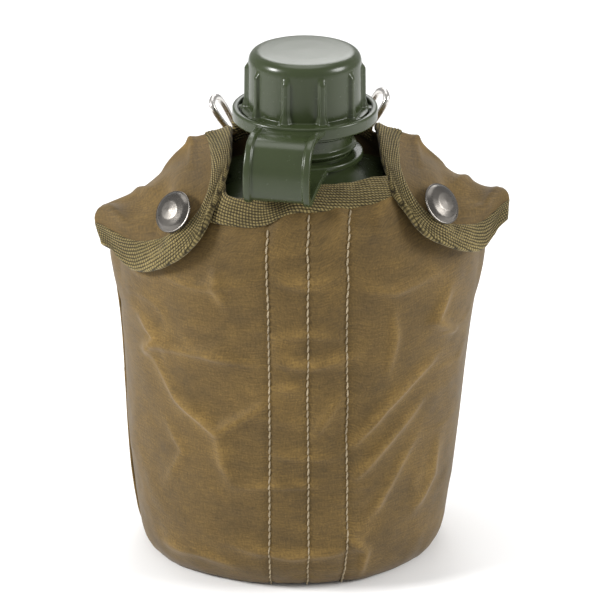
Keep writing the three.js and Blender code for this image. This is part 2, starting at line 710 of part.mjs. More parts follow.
// Rows of stitching: start level, thread radius, stand-off, how much closer they run at the foot, spacing.
const STITCH = { low: 1.7, radius: 0.4, off: 0.75, foot: 0.83, spacing: 14.3 };
function stitchRow(offset) {
  const steps = 22;
  const points = Array.from({ length: steps + 1 }, (_, i) => {
    const atTop = FRONT + offset / 45;
    const high = levelBelow(atTop, frontEdge(atTop), TAPE_W + 2);
    const level = STITCH.low + ((high - STITCH.low) * i) / steps;
    const spread = offset * (STITCH.foot + (1 - STITCH.foot) * Math.min(1, level / BACK_LEVEL));
    const turn = FRONT + Math.asin(spread / sectionAt(level)[1]);
    return liftedPoint(turn, level, CANVAS.outer + STITCH.off);
  });
  const extrudePath = new THREE.CatmullRomCurve3(points);
  const section = new THREE.Shape().absarc(0, 0, STITCH.radius, 0, 2 * Math.PI, false);
  return solid(new THREE.ExtrudeGeometry(section, { steps: 24, curveSegments: 2, extrudePath }));
}

// ---------------------------------------------------------------- assembly
add("bottle_shell", geometryOf(bottle()), GREEN);
add("screw_cap", geometryOf(cap()), GREEN);
add("cap_seal", geometryOf(capSeal()), SEAL_BLACK);

const strap = new THREE.Group();
strap.rotation.z = STRAP.yaw;
canteen.add(strap);
add("strap_neck_ring", geometryOf(neckRing()), GREEN, strap);
add("strap_band", geometryOf(strapBand()), GREEN, strap);
add("strap_cap_ring", geometryOf(capRing()), GREEN, strap);

add("lining_base", geometryOf(kidneyPlate(1.2 + CLEAR, BASE_Z - CLEAR, 3)), FELT_GREY);
const sides = [1, -1].map((side) => ({
  side,
  name: side > 0 ? "right" : "left",
  onPanel: studFrame(side),
  onFlap: capFrame(side),
}));
const feltTop = (turn) => frontEdge(turn) - 1.6;
let felt = sheet(28, 9, ...wrapped(LEFT_SEAM, RIGHT_SEAM, LINING.low, feltTop, FELT));
for (const { onPanel } of sides) {
  felt = felt.subtract(placed(disc(SNAP.plate, -6, 4), onPanel)); // room for the rivets
}
const backFelt = sheet(18, 7, ...wrapped(SEAM.side, Math.PI - SEAM.side, LINING.low, LINING.high, FELT));
add("lining_front", geometryOf(felt), FELT_GREY);
add("lining_back", geometryOf(backFelt), FELT_GREY);

add("cover_base", geometryOf(kidneyPlate(0, 1.2, 2.5)), CANVAS_TAN);
for (const { side, name, onPanel } of sides) {
  const centre = FRONT + side * SEAM.centre;
  const half = side > 0 ? frontHalf(centre, RIGHT_SEAM) : frontHalf(LEFT_SEAM, centre);
  const rivetHole = placed(disc(SNAP.shank + CLEAR, -4, 4), onPanel);
  add(`cover_front_${name}`, geometryOf(half.subtract(rivetHole)), CANVAS_TAN);
}
add("cover_back", geometryOf(backPanel()), CANVAS_TAN);
add("front_binding", geometryOf(frontBinding()), TAPE_OLIVE);
add("collar_binding", geometryOf(collarBinding()), TAPE_OLIVE);
for (const [name, place] of [["left", -1], ["centre", 0], ["right", 1]]) {
  add(`stitch_row_${name}`, geometryOf(stitchRow(place * STITCH.spacing)), THREAD_BUFF);
}

for (const { side, name, onPanel, onFlap } of sides) {
  add(`${name}_flap`, geometryOf(flapCanvas(side)), CANVAS_TAN);
  add(`${name}_flap_binding`, geometryOf(flapBinding(side)), TAPE_OLIVE);
  add(`${name}_snap_stud`, geometryOf(placed(snapStud(), onPanel)), NICKEL);
  add(`${name}_stud_rivet`, geometryOf(placed(studRivet(), onPanel)), NICKEL);
  add(`${name}_snap_socket`, geometryOf(placed(snapSocket(), onFlap)), NICKEL);
  add(`${name}_snap_cap`, geometryOf(placed(snapCap(), onFlap)), NICKEL);
}

add("belt_hook", geometryOf(beltHook()), NICKEL);
add("hook_hanger", geometryOf(hanger()), TAPE_OLIVE);

export default canteen;
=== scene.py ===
"""Looks of a one-quart field canteen in its canvas carrying cover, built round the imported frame."""

import math

import bpy
import numpy as np
from bpy.props import FloatProperty, FloatVectorProperty, PointerProperty
from mathutils import Matrix, Vector


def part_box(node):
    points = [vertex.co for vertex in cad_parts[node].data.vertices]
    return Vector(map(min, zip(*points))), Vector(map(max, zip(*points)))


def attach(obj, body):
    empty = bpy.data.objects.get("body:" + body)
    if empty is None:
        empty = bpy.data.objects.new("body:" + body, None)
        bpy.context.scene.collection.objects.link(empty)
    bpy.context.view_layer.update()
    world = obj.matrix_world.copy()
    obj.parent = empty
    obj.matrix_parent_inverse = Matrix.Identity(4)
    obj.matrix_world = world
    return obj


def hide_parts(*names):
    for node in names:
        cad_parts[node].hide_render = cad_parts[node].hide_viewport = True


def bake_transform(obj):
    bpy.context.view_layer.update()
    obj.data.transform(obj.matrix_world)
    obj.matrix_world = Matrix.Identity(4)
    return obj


bl_info = {
    "name": "Canteen in canvas cover",
    "version": (1, 0, 0),
    "blender": (4, 5, 0),
    "location": "View3D > Sidebar > Canteen",
    "description": "Moulded bottle, screw cap on its strap, canvas cover with snapped flaps and a belt hook",
    "category": "Object",
}

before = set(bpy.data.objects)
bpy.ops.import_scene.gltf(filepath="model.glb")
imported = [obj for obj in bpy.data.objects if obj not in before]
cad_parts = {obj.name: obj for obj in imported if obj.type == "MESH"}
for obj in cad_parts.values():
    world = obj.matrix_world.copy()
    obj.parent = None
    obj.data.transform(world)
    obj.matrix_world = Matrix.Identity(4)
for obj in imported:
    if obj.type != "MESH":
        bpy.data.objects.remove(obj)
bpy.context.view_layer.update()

MM = 0.001
FRONT = -math.pi / 2
ROOT = "bottle_in_cover"


# ---------------------------------------------------------------- sizes and colours a user would change
def length(name, description, millimetres):
    return FloatProperty(
        name=name, description=description, default=millimetres * MM, unit="LENGTH", precision=4
    )


def colour(name, description, rgb):
    return FloatVectorProperty(
        name=name, description=description, default=rgb, size=3, min=0, max=1, subtype="COLOR"
    )


class BottleSizes(bpy.types.PropertyGroup):
    neck_radius: length("Neck radius", "Outside of the neck under its thread", 17.6)
    neck_bore: length("Neck bore", "Inside radius of the mouth", 15.4)
    neck_top: length("Neck top", "Height of the mouth", 201)
    flange_radius: length("Flange radius", "Collar that the strap turns under", 19.9)
    thread_pitch: length("Thread pitch", "Rise of the screw thread in one turn", 5)
    thread_depth: length("Thread depth", "How far the thread stands out", 1.5)
    wall: length("Wall", "Thickness of the blown bottle", 2)


class CapSizes(bpy.types.PropertyGroup):
    radius: length("Radius", "Smooth wall of the cap", 21.7)
    bore: length("Bore", "Inside of the cap", 19.5)
    flange_radius: length("Flange radius", "Disc at the foot of the ribs", 24.3)
    fillet: length("Shoulder", "Rounding between wall and top", 5.6)
    rib_height: length("Rib height", "How far a grip rib stands out", 1.45)
    rib_width: length("Rib half width", "Half width of a grip rib", 1.25)


class StrapSizes(bpy.types.PropertyGroup):
    width: length("Width", "Width of the band", 25)
    thick: length("Thickness", "Thickness of the band between its beads", 1.7)
    bead: length("Bead", "Height of the beads along both edges of the band", 1.0)


class CoverSizes(bpy.types.PropertyGroup):
    canvas: length("Canvas", "Thickness of the waxed canvas", 1.2)
    tape_width: length("Tape width", "Width of the edge binding on each face", 12)
    tape_thick: length("Tape thickness", "Canvas with tape on both sides", 2.6)
    cord_pitch: length("Cord pitch", "Distance between two cords of the tape", 1.15)
    cord_height: length("Cord height", "How far the cords of the tape stand out", 0.42)
    stitch: length("Stitch", "Length of one stitch", 3.1)
    thread: length("Thread", "Thickness of the sewing thread", 0.75)
    crease: FloatProperty(
        name="Creases", description="Strength of the folds in the canvas", default=1.0, min=0, max=2
    )


class MetalSizes(bpy.types.PropertyGroup):
    snap_radius: length("Snap radius", "Radius of the domed snap cap", 8.2)
    wire_radius: length("Wire radius", "Radius of the belt hook's wire", 1.3)


class FinishColours(bpy.types.PropertyGroup):
    canvas: colour("Canvas", "Waxed canvas", (0.138, 0.085, 0.023))
    canvas_dark: colour("Canvas shade", "Canvas where the wax is thick", (0.077, 0.047, 0.012))
    tape: colour("Tape", "Light yarn of the tape", (0.30, 0.235, 0.095))
    # Painted shade: the near-black colour between the cords stands for the shade in their grooves.
    tape_groove_shade: colour("Tape groove shade", "Between the cords of the tape", (0.034, 0.026, 0.011))
    plastic: colour("Plastic", "Moulded olive green", (0.031, 0.042, 0.016))
    # The felt's near-black colour is partly its own dark tone and partly painted shade for the deep shadow
    # inside the mouth of the cover.
    felt: colour("Felt", "Lining", (0.012, 0.011, 0.010))
    thread: colour("Thread", "Sewing thread", (0.52, 0.42, 0.27))
    nickel: colour("Nickel", "Plated snaps and wire", (0.135, 0.125, 0.113))
    rubber: colour("Rubber", "Cap seal", (0.02, 0.02, 0.02))


class StageSettings(bpy.types.PropertyGroup):
    floor: colour("Floor", "Floor and backdrop", (0.93, 0.93, 0.93))
    distance: FloatProperty(name="Distance", description="Camera to object", default=1.2, unit="LENGTH")
    elevation: FloatProperty(
        name="Elevation", description="Camera above the horizon", default=math.radians(22.8), subtype="ANGLE"
    )
    turn: FloatProperty(
        name="Turn", description="Camera to the left of the front", default=math.radians(2.5), subtype="ANGLE"
    )
    lens: FloatProperty(name="Lens", description="Focal length in millimetres", default=184.8)
    key: FloatProperty(name="Key light", description="Power of the key light", default=9.0, unit="POWER")


GROUPS = {
    "canteen_bottle": BottleSizes,
    "canteen_cap": CapSizes,
    "canteen_strap": StrapSizes,
    "canteen_cover": CoverSizes,
    "canteen_metal": MetalSizes,
    "canteen_colours": FinishColours,
    "canteen_stage": StageSettings,
}


def sizes(group):
    """The sizes of one group in millimetres, by name."""
    values = getattr(bpy.context.scene, group)
    names = values.bl_rna.properties.keys()
    return {name: getattr(values, name) / MM for name in names if is_length(values, name)}


def is_length(values, name):
    return getattr(values.bl_rna.properties[name], "unit", "NONE") == "LENGTH"


# ---------------------------------------------------------------- lines, nets and noise
def smoothstep(value, low, high):
    share = np.clip((value - low) / (high - low), 0, 1)
    return share * share * (3 - 2 * share)


def bell(distance, width):
    return np.exp(-((distance / width) ** 2))


def through(values, at):
    """Catmull-Rom interpolation: values holds knots on its first axis, at runs from 0 to 1 over them."""
    values = np.asarray(values, float)
    last = len(values) - 1
    padded = np.concatenate([[2 * values[0] - values[1]], values, [2 * values[-1] - values[-2]]])
    place = np.asarray(at, float) * last
    i = np.clip(np.floor(place).astype(int), 0, last - 1)
    f = (place - i).reshape(place.shape + (1,) * (values.ndim - 1))
    p0, p1, p2, p3 = (padded[i + k] for k in range(4))
    cubic = (3 * p1 - p0 - 3 * p2 + p3) * f**3
    return (2 * p1 + (p2 - p0) * f + (2 * p0 - 5 * p1 + 4 * p2 - p3) * f**2 + cubic) / 2


def run_along(points, shares):
    """Points at equal shares of length along a smooth line through the given points."""
    dense = through(points, np.linspace(0, 1, 600))
    travelled = np.concatenate([[0], np.cumsum(np.linalg.norm(np.diff(dense, axis=0), axis=1))])
    wanted = np.asarray(shares) * travelled[-1]
    return np.stack([np.interp(wanted, travelled, dense[:, k]) for k in range(dense.shape[1])], -1)


def lattice(i, j, k, seed):
    n = (i * 374761393 + j * 668265263 + k * 974634777 + seed * 1274126177) & 0xFFFFFFFF
    n = ((n ^ (n >> 13)) * 1274126177) & 0xFFFFFFFF
    return ((n ^ (n >> 16)) & 0xFFFF) / 32767.5 - 1


def lumps(points, size, seed):
    """Smooth noise from -1 to 1 over points in millimetres."""
    place = np.asarray(points, float) / size + 1000.0
    cell = np.floor(place).astype(np.int64)
    f = place - cell
    f = f * f * (3 - 2 * f)
    total = 0
    for dx in (0, 1):
        for dy in (0, 1):
            for dz in (0, 1):
                weight = (
                    (f[..., 0] if dx else 1 - f[..., 0])
                    * (f[..., 1] if dy else 1 - f[..., 1])
                    * (f[..., 2] if dz else 1 - f[..., 2])
                )
                corner = lattice(cell[..., 0] + dx, cell[..., 1] + dy, cell[..., 2] + dz, seed)
                total = total + weight * corner
    return total


def crease(x, z, line, width, height):
    """A fold along a line of (x, z) points, sharp on its crest and fading at both ends."""
    knots = np.asarray(line, float)
    pieces = np.linalg.norm(np.diff(knots, axis=0), axis=1)
    whole = pieces.sum()
    best = np.full(np.shape(x), 1e9)
    along = np.zeros(np.shape(x))
    passed = 0.0
    for a, b, piece in zip(knots[:-1], knots[1:], pieces):
        t = np.clip(((x - a[0]) * (b[0] - a[0]) + (z - a[1]) * (b[1] - a[1])) / piece**2, 0, 1)
        away = np.hypot(x - a[0] - t * (b[0] - a[0]), z - a[1] - t * (b[1] - a[1]))
        nearer = away < best
        best = np.where(nearer, away, best)
        along = np.where(nearer, (passed + t * piece) / whole, along)
        passed += piece
    fade = np.clip(np.sin(np.pi * np.clip(along, 0.02, 0.98)), 0, 1) ** 0.6
    return height * fade * np.exp(-(np.sqrt(best**2 + 0.5**2) - 0.5) / width)


# ---------------------------------------------------------------- meshes
def grid_quads(rows, columns, wrap_rows=False, wrap_columns=False):
    i, j = np.meshgrid(
        np.arange(rows if wrap_rows else rows - 1),
        np.arange(columns if wrap_columns else columns - 1),
        indexing="ij",
    )
    i, j = i.ravel(), j.ravel()
    i2, j2 = (i + 1) % rows, (j + 1) % columns
    return np.stack([i * columns + j, i * columns + j2, i2 * columns + j2, i2 * columns + j], 1)


def make_mesh(name, points, faces, uv=None, masks=None):
    """A smooth-shaded object from points in millimetres; faces are given facing out."""
    mesh = bpy.data.meshes.new(name)
    mesh.from_pydata((np.asarray(points) * MM).tolist(), [], [list(map(int, face)) for face in faces])
    if uv is not None:
        corners = np.zeros(len(mesh.loops), np.int32)
        mesh.loops.foreach_get("vertex_index", corners)
        mesh.uv_layers.new(name="UVMap").data.foreach_set("uv", np.asarray(uv, np.float32)[corners].ravel())
    for mask, values in (masks or {}).items():
        layer = mesh.attributes.new(mask, "FLOAT", "POINT")
        layer.data.foreach_set("value", np.asarray(values, np.float32).ravel())
    mesh.shade_smooth()
    made = bpy.data.objects.new(name, mesh)
    bpy.context.scene.collection.objects.link(made)
    return made


def grid_normals(points):
    across = np.gradient(points, axis=1)
    down = np.gradient(points, axis=0)
    normal = np.cross(across, down)
    return normal / np.maximum(np.linalg.norm(normal, axis=-1, keepdims=True), 1e-9)


def run_lengths(points, axis):
    steps = np.linalg.norm(np.diff(points, axis=axis), axis=-1)
    start = np.zeros_like(np.take(steps, [0], axis=axis))
    return np.cumsum(np.concatenate([start, steps], axis=axis), axis=axis)


def shares(count, edge=0.0, fine=3):
    """Shares from 0 to 1, closer together over the last bit at both ends, so that edges can be rounded."""
    ends = edge * (1 - np.cos(np.linspace(0, math.pi / 2, fine + 1)))[:-1]
    return np.concatenate([ends, np.linspace(edge, 1 - edge, count), 1 - ends[::-1]])


def slab(name, middle, thick, relief=None, under=None, masks=None, uv=None):
    """A sheet with thickness and rounded rims round a grid of middle points (rows, columns, 3)."""
    rows, columns = middle.shape[:2]
    normal = grid_normals(middle)
    across, down = run_lengths(middle, 1), run_lengths(middle, 0)
    edge = np.minimum(
        np.minimum(across, across[:, -1:] - across), np.minimum(down, down[-1:] - down)
    )
    half = thick / 2
    swell = np.sqrt(np.clip(1 - (1 - np.clip(edge / half, 0, 1)) ** 2, 0, 1))[..., None]
    top = middle + normal * swell * half
    bottom = middle - normal * swell * half
    if relief is not None:
        top = top + normal * swell * relief[..., None]
    if under is not None:
        bottom = bottom - normal * swell * under[..., None]
    index = np.arange(rows * columns)
    rim = np.zeros((rows, columns), bool)
    rim[0], rim[-1], rim[:, 0], rim[:, -1] = True, True, True, True
    inner = np.cumsum(~rim.ravel()) - 1
    below = np.where(rim.ravel(), index, rows * columns + inner)
    quads = grid_quads(rows, columns)
    faces = np.concatenate([quads[:, ::-1], below[quads]])
    keep = ~rim.ravel()
    points = np.concatenate([top.reshape(-1, 3), bottom.reshape(-1, 3)[keep]])
    if uv is None:
        uv = np.stack([across, down], -1)
    flat = uv.reshape(-1, 2)
    mesh_masks = {
        key: np.concatenate([value.ravel(), value.ravel()[keep]]) for key, value in (masks or {}).items()
    }
    made = make_mesh(name, points, faces, np.concatenate([flat, flat[keep]]), mesh_masks)
    face_out(made)
    made["cut"] = [float(across[:, -1].mean() * MM), float(down[-1].mean() * MM)]
    return made


def face_out(made):
    """Turns a closed mesh inside out if its volume is negative."""
    mesh = made.data
    mesh.calc_loop_triangles()
    co = np.zeros(len(mesh.vertices) * 3)
    mesh.vertices.foreach_get("co", co)
    co = co.reshape(-1, 3)
    corners = np.zeros(len(mesh.loop_triangles) * 3, np.int32)
    mesh.loop_triangles.foreach_get("vertices", corners)
    a, b, c = (co[corners[k::3]] for k in range(3))
    if np.einsum("ij,ij->i", a, np.cross(b, c)).sum() < 0:
        mesh.flip_normals()


def rounded(corners, steps=4):
    """An outline of (r, z, radius) corners with arcs of that radius, as (r, z) points."""
    points = []
    count = len(corners)
    for k, (r, z, radius) in enumerate(corners):
        here = np.array([r, z], float)
        before = np.array(corners[k - 1][:2], float) - here
        after = np.array(corners[(k + 1) % count][:2], float) - here
        if radius <= 0 or k in (0, count - 1) and corners[0][0] == 0:
            points.append(here)
            continue
        before_length, after_length = np.linalg.norm(before), np.linalg.norm(after)
        before, after = before / before_length, after / after_length
        half = math.acos(np.clip(before @ after, -1, 1)) / 2
        reach = min(radius / math.tan(half), 0.49 * before_length, 0.49 * after_length)
        for t in np.linspace(0, 1, steps + 1):
            a = here + before * reach * (1 - t)
            b = here + after * reach * t
            points.append(a + (b - a) * t)
    return np.array(points)


def refined(outline, step, closed):
    """The outline with long stretches split to about one step."""
    ring = np.concatenate([outline, outline[:1]]) if closed else outline
    points = []
    for a, b in zip(ring[:-1], ring[1:]):
        parts = max(1, math.ceil(np.linalg.norm(b - a) / step))
        points += [a + (b - a) * k / parts for k in range(parts)]
    if not closed:
        points.append(ring[-1])
    return np.array(points)


def turned(name, outline, around, step=0.8, offset=None, uv_scale=1.0):
    """A body of revolution about +Z. offset(angle, r, z) moves a point outwards from the axis."""
    closed = outline[0][0] > 0
    profile = refined(outline, step, closed)
    angle = np.arange(around) * 2 * math.pi / around
    r, z = (np.broadcast_to(profile[:, k][:, None], (len(profile), around)) for k in (0, 1))
    theta = np.broadcast_to(angle[None, :], r.shape)
    radius = r if offset is None else r + offset(theta, r, z)
    points = np.stack([radius * np.cos(theta), radius * np.sin(theta), z], -1)
    quads = grid_quads(len(profile), around, closed, True)
    run = np.arange(len(profile))[:, None] * step * np.ones(around)
    uv = np.stack([theta * 20 * uv_scale, run], -1).reshape(-1, 2)
    flat = points.reshape(-1, 3)
    if closed:
        made = make_mesh(name, flat, quads, uv)
    else:
        flat, quads, uv = close_poles(flat, quads, uv, len(profile), around)
        made = make_mesh(name, flat, quads, uv)
    face_out(made)
    return made


def close_poles(flat, quads, uv, rows, around):
    """Replaces the first and last row of a grid of revolution by one point each on the axis."""
    first, last = flat[0] * [0, 0, 1], flat[-1] * [0, 0, 1]
    kept = flat[around:-around]
    kept_uv = uv[around:-around]
    faces = []
    body = (rows - 2) * around
    for quad in quads:
        row = quad[0] // around
        if row == 0:
            faces.append([body, int(quad[2]) - around, int(quad[3]) - around])
        elif row == rows - 2:
            faces.append([int(quad[0]) - around, int(quad[1]) - around, body + 1])
        else:
            faces.append([int(v) - around for v in quad])
    points = np.concatenate([kept, [first, last]])
    return points, faces, np.concatenate([kept_uv, uv[:1], uv[-1:]])


def tube(name, line, radius, around=20, closed_ends=True):
    """A round bar along a line of points, with slightly rounded ends."""
    line = np.asarray(line, float)
    ahead = np.gradient(line, axis=0)
    ahead /= np.linalg.norm(ahead, axis=1, keepdims=True)
    side = np.cross(ahead[0], [0, 1, 0])
    side /= np.linalg.norm(side)
    angle = np.arange(around) * 2 * math.pi / around
    rings, run = [], 0.0
    uv = []
    for k, (point, tangent) in enumerate(zip(line, ahead)):
        side = side - tangent * (side @ tangent)
        side /= np.linalg.norm(side)
        other = np.cross(tangent, side)
        if k:
            run += np.linalg.norm(point - line[k - 1])
        rings.append(point + radius * (np.outer(np.cos(angle), side) + np.outer(np.sin(angle), other)))
        uv.append(np.stack([np.full(around, run), angle * radius], 1))
    if closed_ends:
        tip = 0.35 * radius
        first = line[0] + (rings[0] - line[0]) * 0.7 - ahead[0] * tip
        last = line[-1] + (rings[-1] - line[-1]) * 0.7 + ahead[-1] * tip
        rings = [first] + rings + [last]
        uv = [uv[0]] + uv + [uv[-1]]
    flat = np.concatenate(rings)
    quads = grid_quads(len(rings), around, False, True)
    centres = [rings[0].mean(0), rings[-1].mean(0)]
    n = len(flat)
    faces = [list(quad) for quad in quads]
    for k in range(around):
        faces.append([n, (k + 1) % around, k])
        faces.append([n + 1, n - around + k, n - around + (k + 1) % around])
    uv = np.concatenate(uv + [uv[0][:1], uv[-1][:1]])
    made = make_mesh(name, np.concatenate([flat, centres]), faces, uv)
    face_out(made)
    return made


# ---------------------------------------------------------------- shader nodes
def node(tree, kind, inputs=None, **settings):
    made = tree.nodes.new("ShaderNode" + kind)
    for name, value in settings.items():
        setattr(made, name, value)
    for key, value in (inputs or {}).items():
        if isinstance(value, bpy.types.NodeSocket):
            tree.links.new(value, made.inputs[key])
        else:
            made.inputs[key].default_value = value
    return made


def maths(tree, operation, a, b=0.0, clamp=False):
    return node(tree, "Math", {0: a, 1: b}, operation=operation, use_clamp=clamp).outputs[0]


def spread(tree, value, low, high, to_low=0.0, to_high=1.0):
    ranges = {0: value, 1: low, 2: high, 3: to_low, 4: to_high}
    return node(tree, "MapRange", ranges).outputs[0]


def mix(tree, share, a, b, blend="MIX"):
    made = node(tree, "Mix", {0: share}, data_type="RGBA", blend_type=blend)
    for socket, value in ((made.inputs[6], a), (made.inputs[7], b)):
        if isinstance(value, bpy.types.NodeSocket):
            tree.links.new(value, socket)
        else:
            socket.default_value = value
    return made.outputs[2]


def speckle(tree, vector, scale, detail=2.0, stretch=(1, 1, 1)):
    """Noise about 0.5 over a vector in millimetres."""
    wide = node(tree, "VectorMath", {0: vector, 1: stretch}, operation="MULTIPLY").outputs[0]
    return node(tree, "TexNoise", {"Vector": wide, "Scale": scale, "Detail": detail}).outputs[0]


def new_group(name, inputs, outputs):
    """An empty shader node group with named sockets; returns tree, inputs by name and the output node."""
    tree = bpy.data.node_groups.new(name, "ShaderNodeTree")
    for label, kind in inputs:
        tree.interface.new_socket(name=label, in_out="INPUT", socket_type="NodeSocket" + kind)
    for label, kind in outputs:
        tree.interface.new_socket(name=label, in_out="OUTPUT", socket_type="NodeSocket" + kind)
    source = tree.nodes.new("NodeGroupInput")
    sink = tree.nodes.new("NodeGroupOutput")
    return tree, source.outputs, sink


def weave_group():
    """Plain-woven waxed cloth: yarn streaks, cloudy wax, paler on fold crests, partly worn wax and partly a
    painted highlight.
    """
    inputs = [("Yarn", "Float"), ("Cloth", "Color"), ("Shade", "Color"), ("Wear and highlight", "Float")]
    outputs = [("Color", "Color"), ("Roughness", "Float"), ("Height", "Float")]
    tree, source, sink = new_group("Waxed weave", inputs, outputs)
    uv = node(tree, "TexCoord").outputs["UV"]
    cloud = speckle(tree, uv, 0.055, 4.0)
    patch = speckle(tree, uv, 0.17, 3.0, (0.55, 1, 1))
    weft = speckle(tree, uv, source["Yarn"], 2.0, (0.12, 1, 1))
    warp = speckle(tree, uv, source["Yarn"], 2.0, (1, 0.14, 1))
    grain = speckle(tree, uv, source["Yarn"], 3.0, (0.8, 0.8, 1))
    clouded = spread(tree, cloud, 0.3, 0.7, 0.0, 0.55)
    patched = spread(tree, patch, 0.3, 0.7, 0.0, 0.45)
    wax = maths(tree, "ADD", clouded, patched)
    yarn = maths(tree, "ADD", maths(tree, "MULTIPLY", weft, 0.6), maths(tree, "MULTIPLY", warp, 0.4))
    base = mix(tree, wax, source["Shade"], source["Cloth"])
    streak = spread(tree, yarn, 0.32, 0.68, 0.74, 1.26)
    dots = spread(tree, grain, 0.3, 0.7, 0.80, 1.20)
    light = maths(tree, "MULTIPLY", streak, dots)
    # Lightens the crests of folds: partly worn wax, partly a painted highlight.
    wear_and_highlight = spread(tree, source["Wear and highlight"], 0.0, 1.0, 0.94, 1.6)
    light = maths(tree, "MULTIPLY", light, wear_and_highlight)
    shade = node(tree, "CombineColor", {0: light, 1: light, 2: light}).outputs[0]
    tree.links.new(mix(tree, 1.0, base, shade, "MULTIPLY"), sink.inputs["Color"])
    tree.links.new(spread(tree, wax, 0.0, 1.0, 0.62, 0.78), sink.inputs["Roughness"])
    height = maths(tree, "ADD", yarn, maths(tree, "MULTIPLY", grain, 0.7))
    tree.links.new(height, sink.inputs["Height"])
    return tree


def cord_group():
    """Ribbed cotton tape: slanting cords with painted shade in the grooves between them, each twisted of
    strands.
    """
    inputs = [("Pitch", "Float"), ("Slant", "Float"), ("Yarn", "Color"), ("Groove shade", "Color")]
    outputs = [("Color", "Color"), ("Roughness", "Float"), ("Height", "Float")]
    tree, source, sink = new_group("Corded tape", inputs, outputs)
    uv = node(tree, "TexCoord").outputs["UV"]
    split = node(tree, "SeparateXYZ", {0: uv})
    along, across = split.outputs[0], split.outputs[1]
    wobble = maths(tree, "MULTIPLY", maths(tree, "SUBTRACT", speckle(tree, uv, 0.35), 0.5), 0.9)
    slanted = maths(tree, "ADD", across, maths(tree, "MULTIPLY", along, source["Slant"]))
    shifted = maths(tree, "ADD", slanted, wobble)
    cord = maths(tree, "DIVIDE", shifted, source["Pitch"])
    crest = maths(tree, "ABSOLUTE", maths(tree, "SINE", maths(tree, "MULTIPLY", cord, math.pi)))
    twist = maths(tree, "ADD", maths(tree, "MULTIPLY", along, 5.2), maths(tree, "MULTIPLY", cord, 3.4))
    strand = spread(tree, maths(tree, "SINE", twist), -1.0, 1.0)
    fuzz = speckle(tree, uv, 2.2, 3.0)
    cover = maths(tree, "MULTIPLY", spread(tree, crest, 0.15, 0.8), spread(tree, strand, 0.1, 0.8, 0.2, 1.0))
    cover = maths(tree, "MULTIPLY", cover, spread(tree, fuzz, 0.32, 0.55, 0.55, 1.0), clamp=True)
    stained = speckle(tree, uv, 0.09, 3.0)
    tone = spread(tree, stained, 0.3, 0.7, 0.72, 1.18)
    # Painted shade: darker where the cords dip, in the grooves between them.
    base = mix(tree, cover, source["Groove shade"], source["Yarn"])
    shade = node(tree, "CombineColor", {0: tone, 1: tone, 2: tone}).outputs[0]
    tree.links.new(mix(tree, 1.0, base, shade, "MULTIPLY"), sink.inputs["Color"])
    tree.links.new(spread(tree, cover, 0.0, 1.0, 0.95, 0.8), sink.inputs["Roughness"])
    height = maths(tree, "ADD", crest, maths(tree, "MULTIPLY", strand, 0.35))
    tree.links.new(maths(tree, "ADD", height, maths(tree, "MULTIPLY", fuzz, 0.4)), sink.inputs["Height"])
    return tree


def handled_group():
    """Handling on hard surfaces: smudges, fine scratches and a slight change of tone."""
    inputs = [("Tone", "Color"), ("Smooth", "Float"), ("Worn", "Float"), ("Size", "Float")]
    outputs = [("Color", "Color"), ("Roughness", "Float"), ("Height", "Float")]
    tree, source, sink = new_group("Handled surface", inputs, outputs)
    metres = node(tree, "TexCoord").outputs["Object"]
    place = node(tree, "VectorMath", {0: metres, 1: (1 / MM,) * 3}, operation="MULTIPLY").outputs[0]
    smudge = speckle(tree, place, 0.11, 4.0)
    fine = speckle(tree, place, source["Size"], 4.0)
    scratch = speckle(tree, place, 1.6, 2.0, (0.06, 0.9, 0.5))
    smudged = spread(tree, smudge, 0.3, 0.7, -0.5, 0.5)
    grained = spread(tree, fine, 0.3, 0.7, -0.35, 0.35)
    marks = maths(tree, "ADD", smudged, grained)
    scratched = spread(tree, scratch, 0.60, 0.72, 0.0, 0.5)
    rough = maths(tree, "ADD", spread(tree, marks, -1.0, 1.0, 0.0, 1.0), scratched)
    swing = maths(tree, "MULTIPLY", maths(tree, "SUBTRACT", rough, 0.5), source["Worn"])
    tree.links.new(maths(tree, "ADD", source["Smooth"], swing, clamp=True), sink.inputs["Roughness"])
    tone = spread(tree, marks, -1.0, 1.0, 0.93, 1.07)
    shade = node(tree, "CombineColor", {0: tone, 1: tone, 2: tone}).outputs[0]
    tree.links.new(mix(tree, 1.0, source["Tone"], shade, "MULTIPLY"), sink.inputs["Color"])
    tree.links.new(maths(tree, "ADD", fine, maths(tree, "MULTIPLY", scratch, 0.3)), sink.inputs["Height"])
    return tree


def effect(name, build):
    return bpy.data.node_groups.get(name) or build()


def finish_material(name, tree_builder, group_name, values, bump, settings):
    """A Principled material fed by one effect group; values set the group's sockets."""
    found = bpy.data.materials.get(name)
    if found:
        return found
    made = bpy.data.materials.new(name)
    made.use_nodes = True
    tree = made.node_tree
    shader = tree.nodes["Principled BSDF"]
    group = tree.nodes.new("ShaderNodeGroup")
    group.node_tree = effect(group_name, tree_builder)
    for key, value in values.items():
        if isinstance(value, bpy.types.NodeSocket):
            tree.links.new(value, group.inputs[key])
        else:
            group.inputs[key].default_value = value
    tree.links.new(group.outputs["Color"], shader.inputs["Base Color"])
    tree.links.new(group.outputs["Roughness"], shader.inputs["Roughness"])
    strength, distance = bump
    relief = {"Strength": strength, "Distance": distance * MM, "Height": group.outputs["Height"]}
    bumped = node(tree, "Bump", relief)
    tree.links.new(bumped.outputs["Normal"], shader.inputs["Normal"])
    for key, value in settings.items():
        shader.inputs[key].default_value = value
    return made


def rgba(values):
    return (*values, 1.0)


def colours():
    return bpy.context.scene.canteen_colours


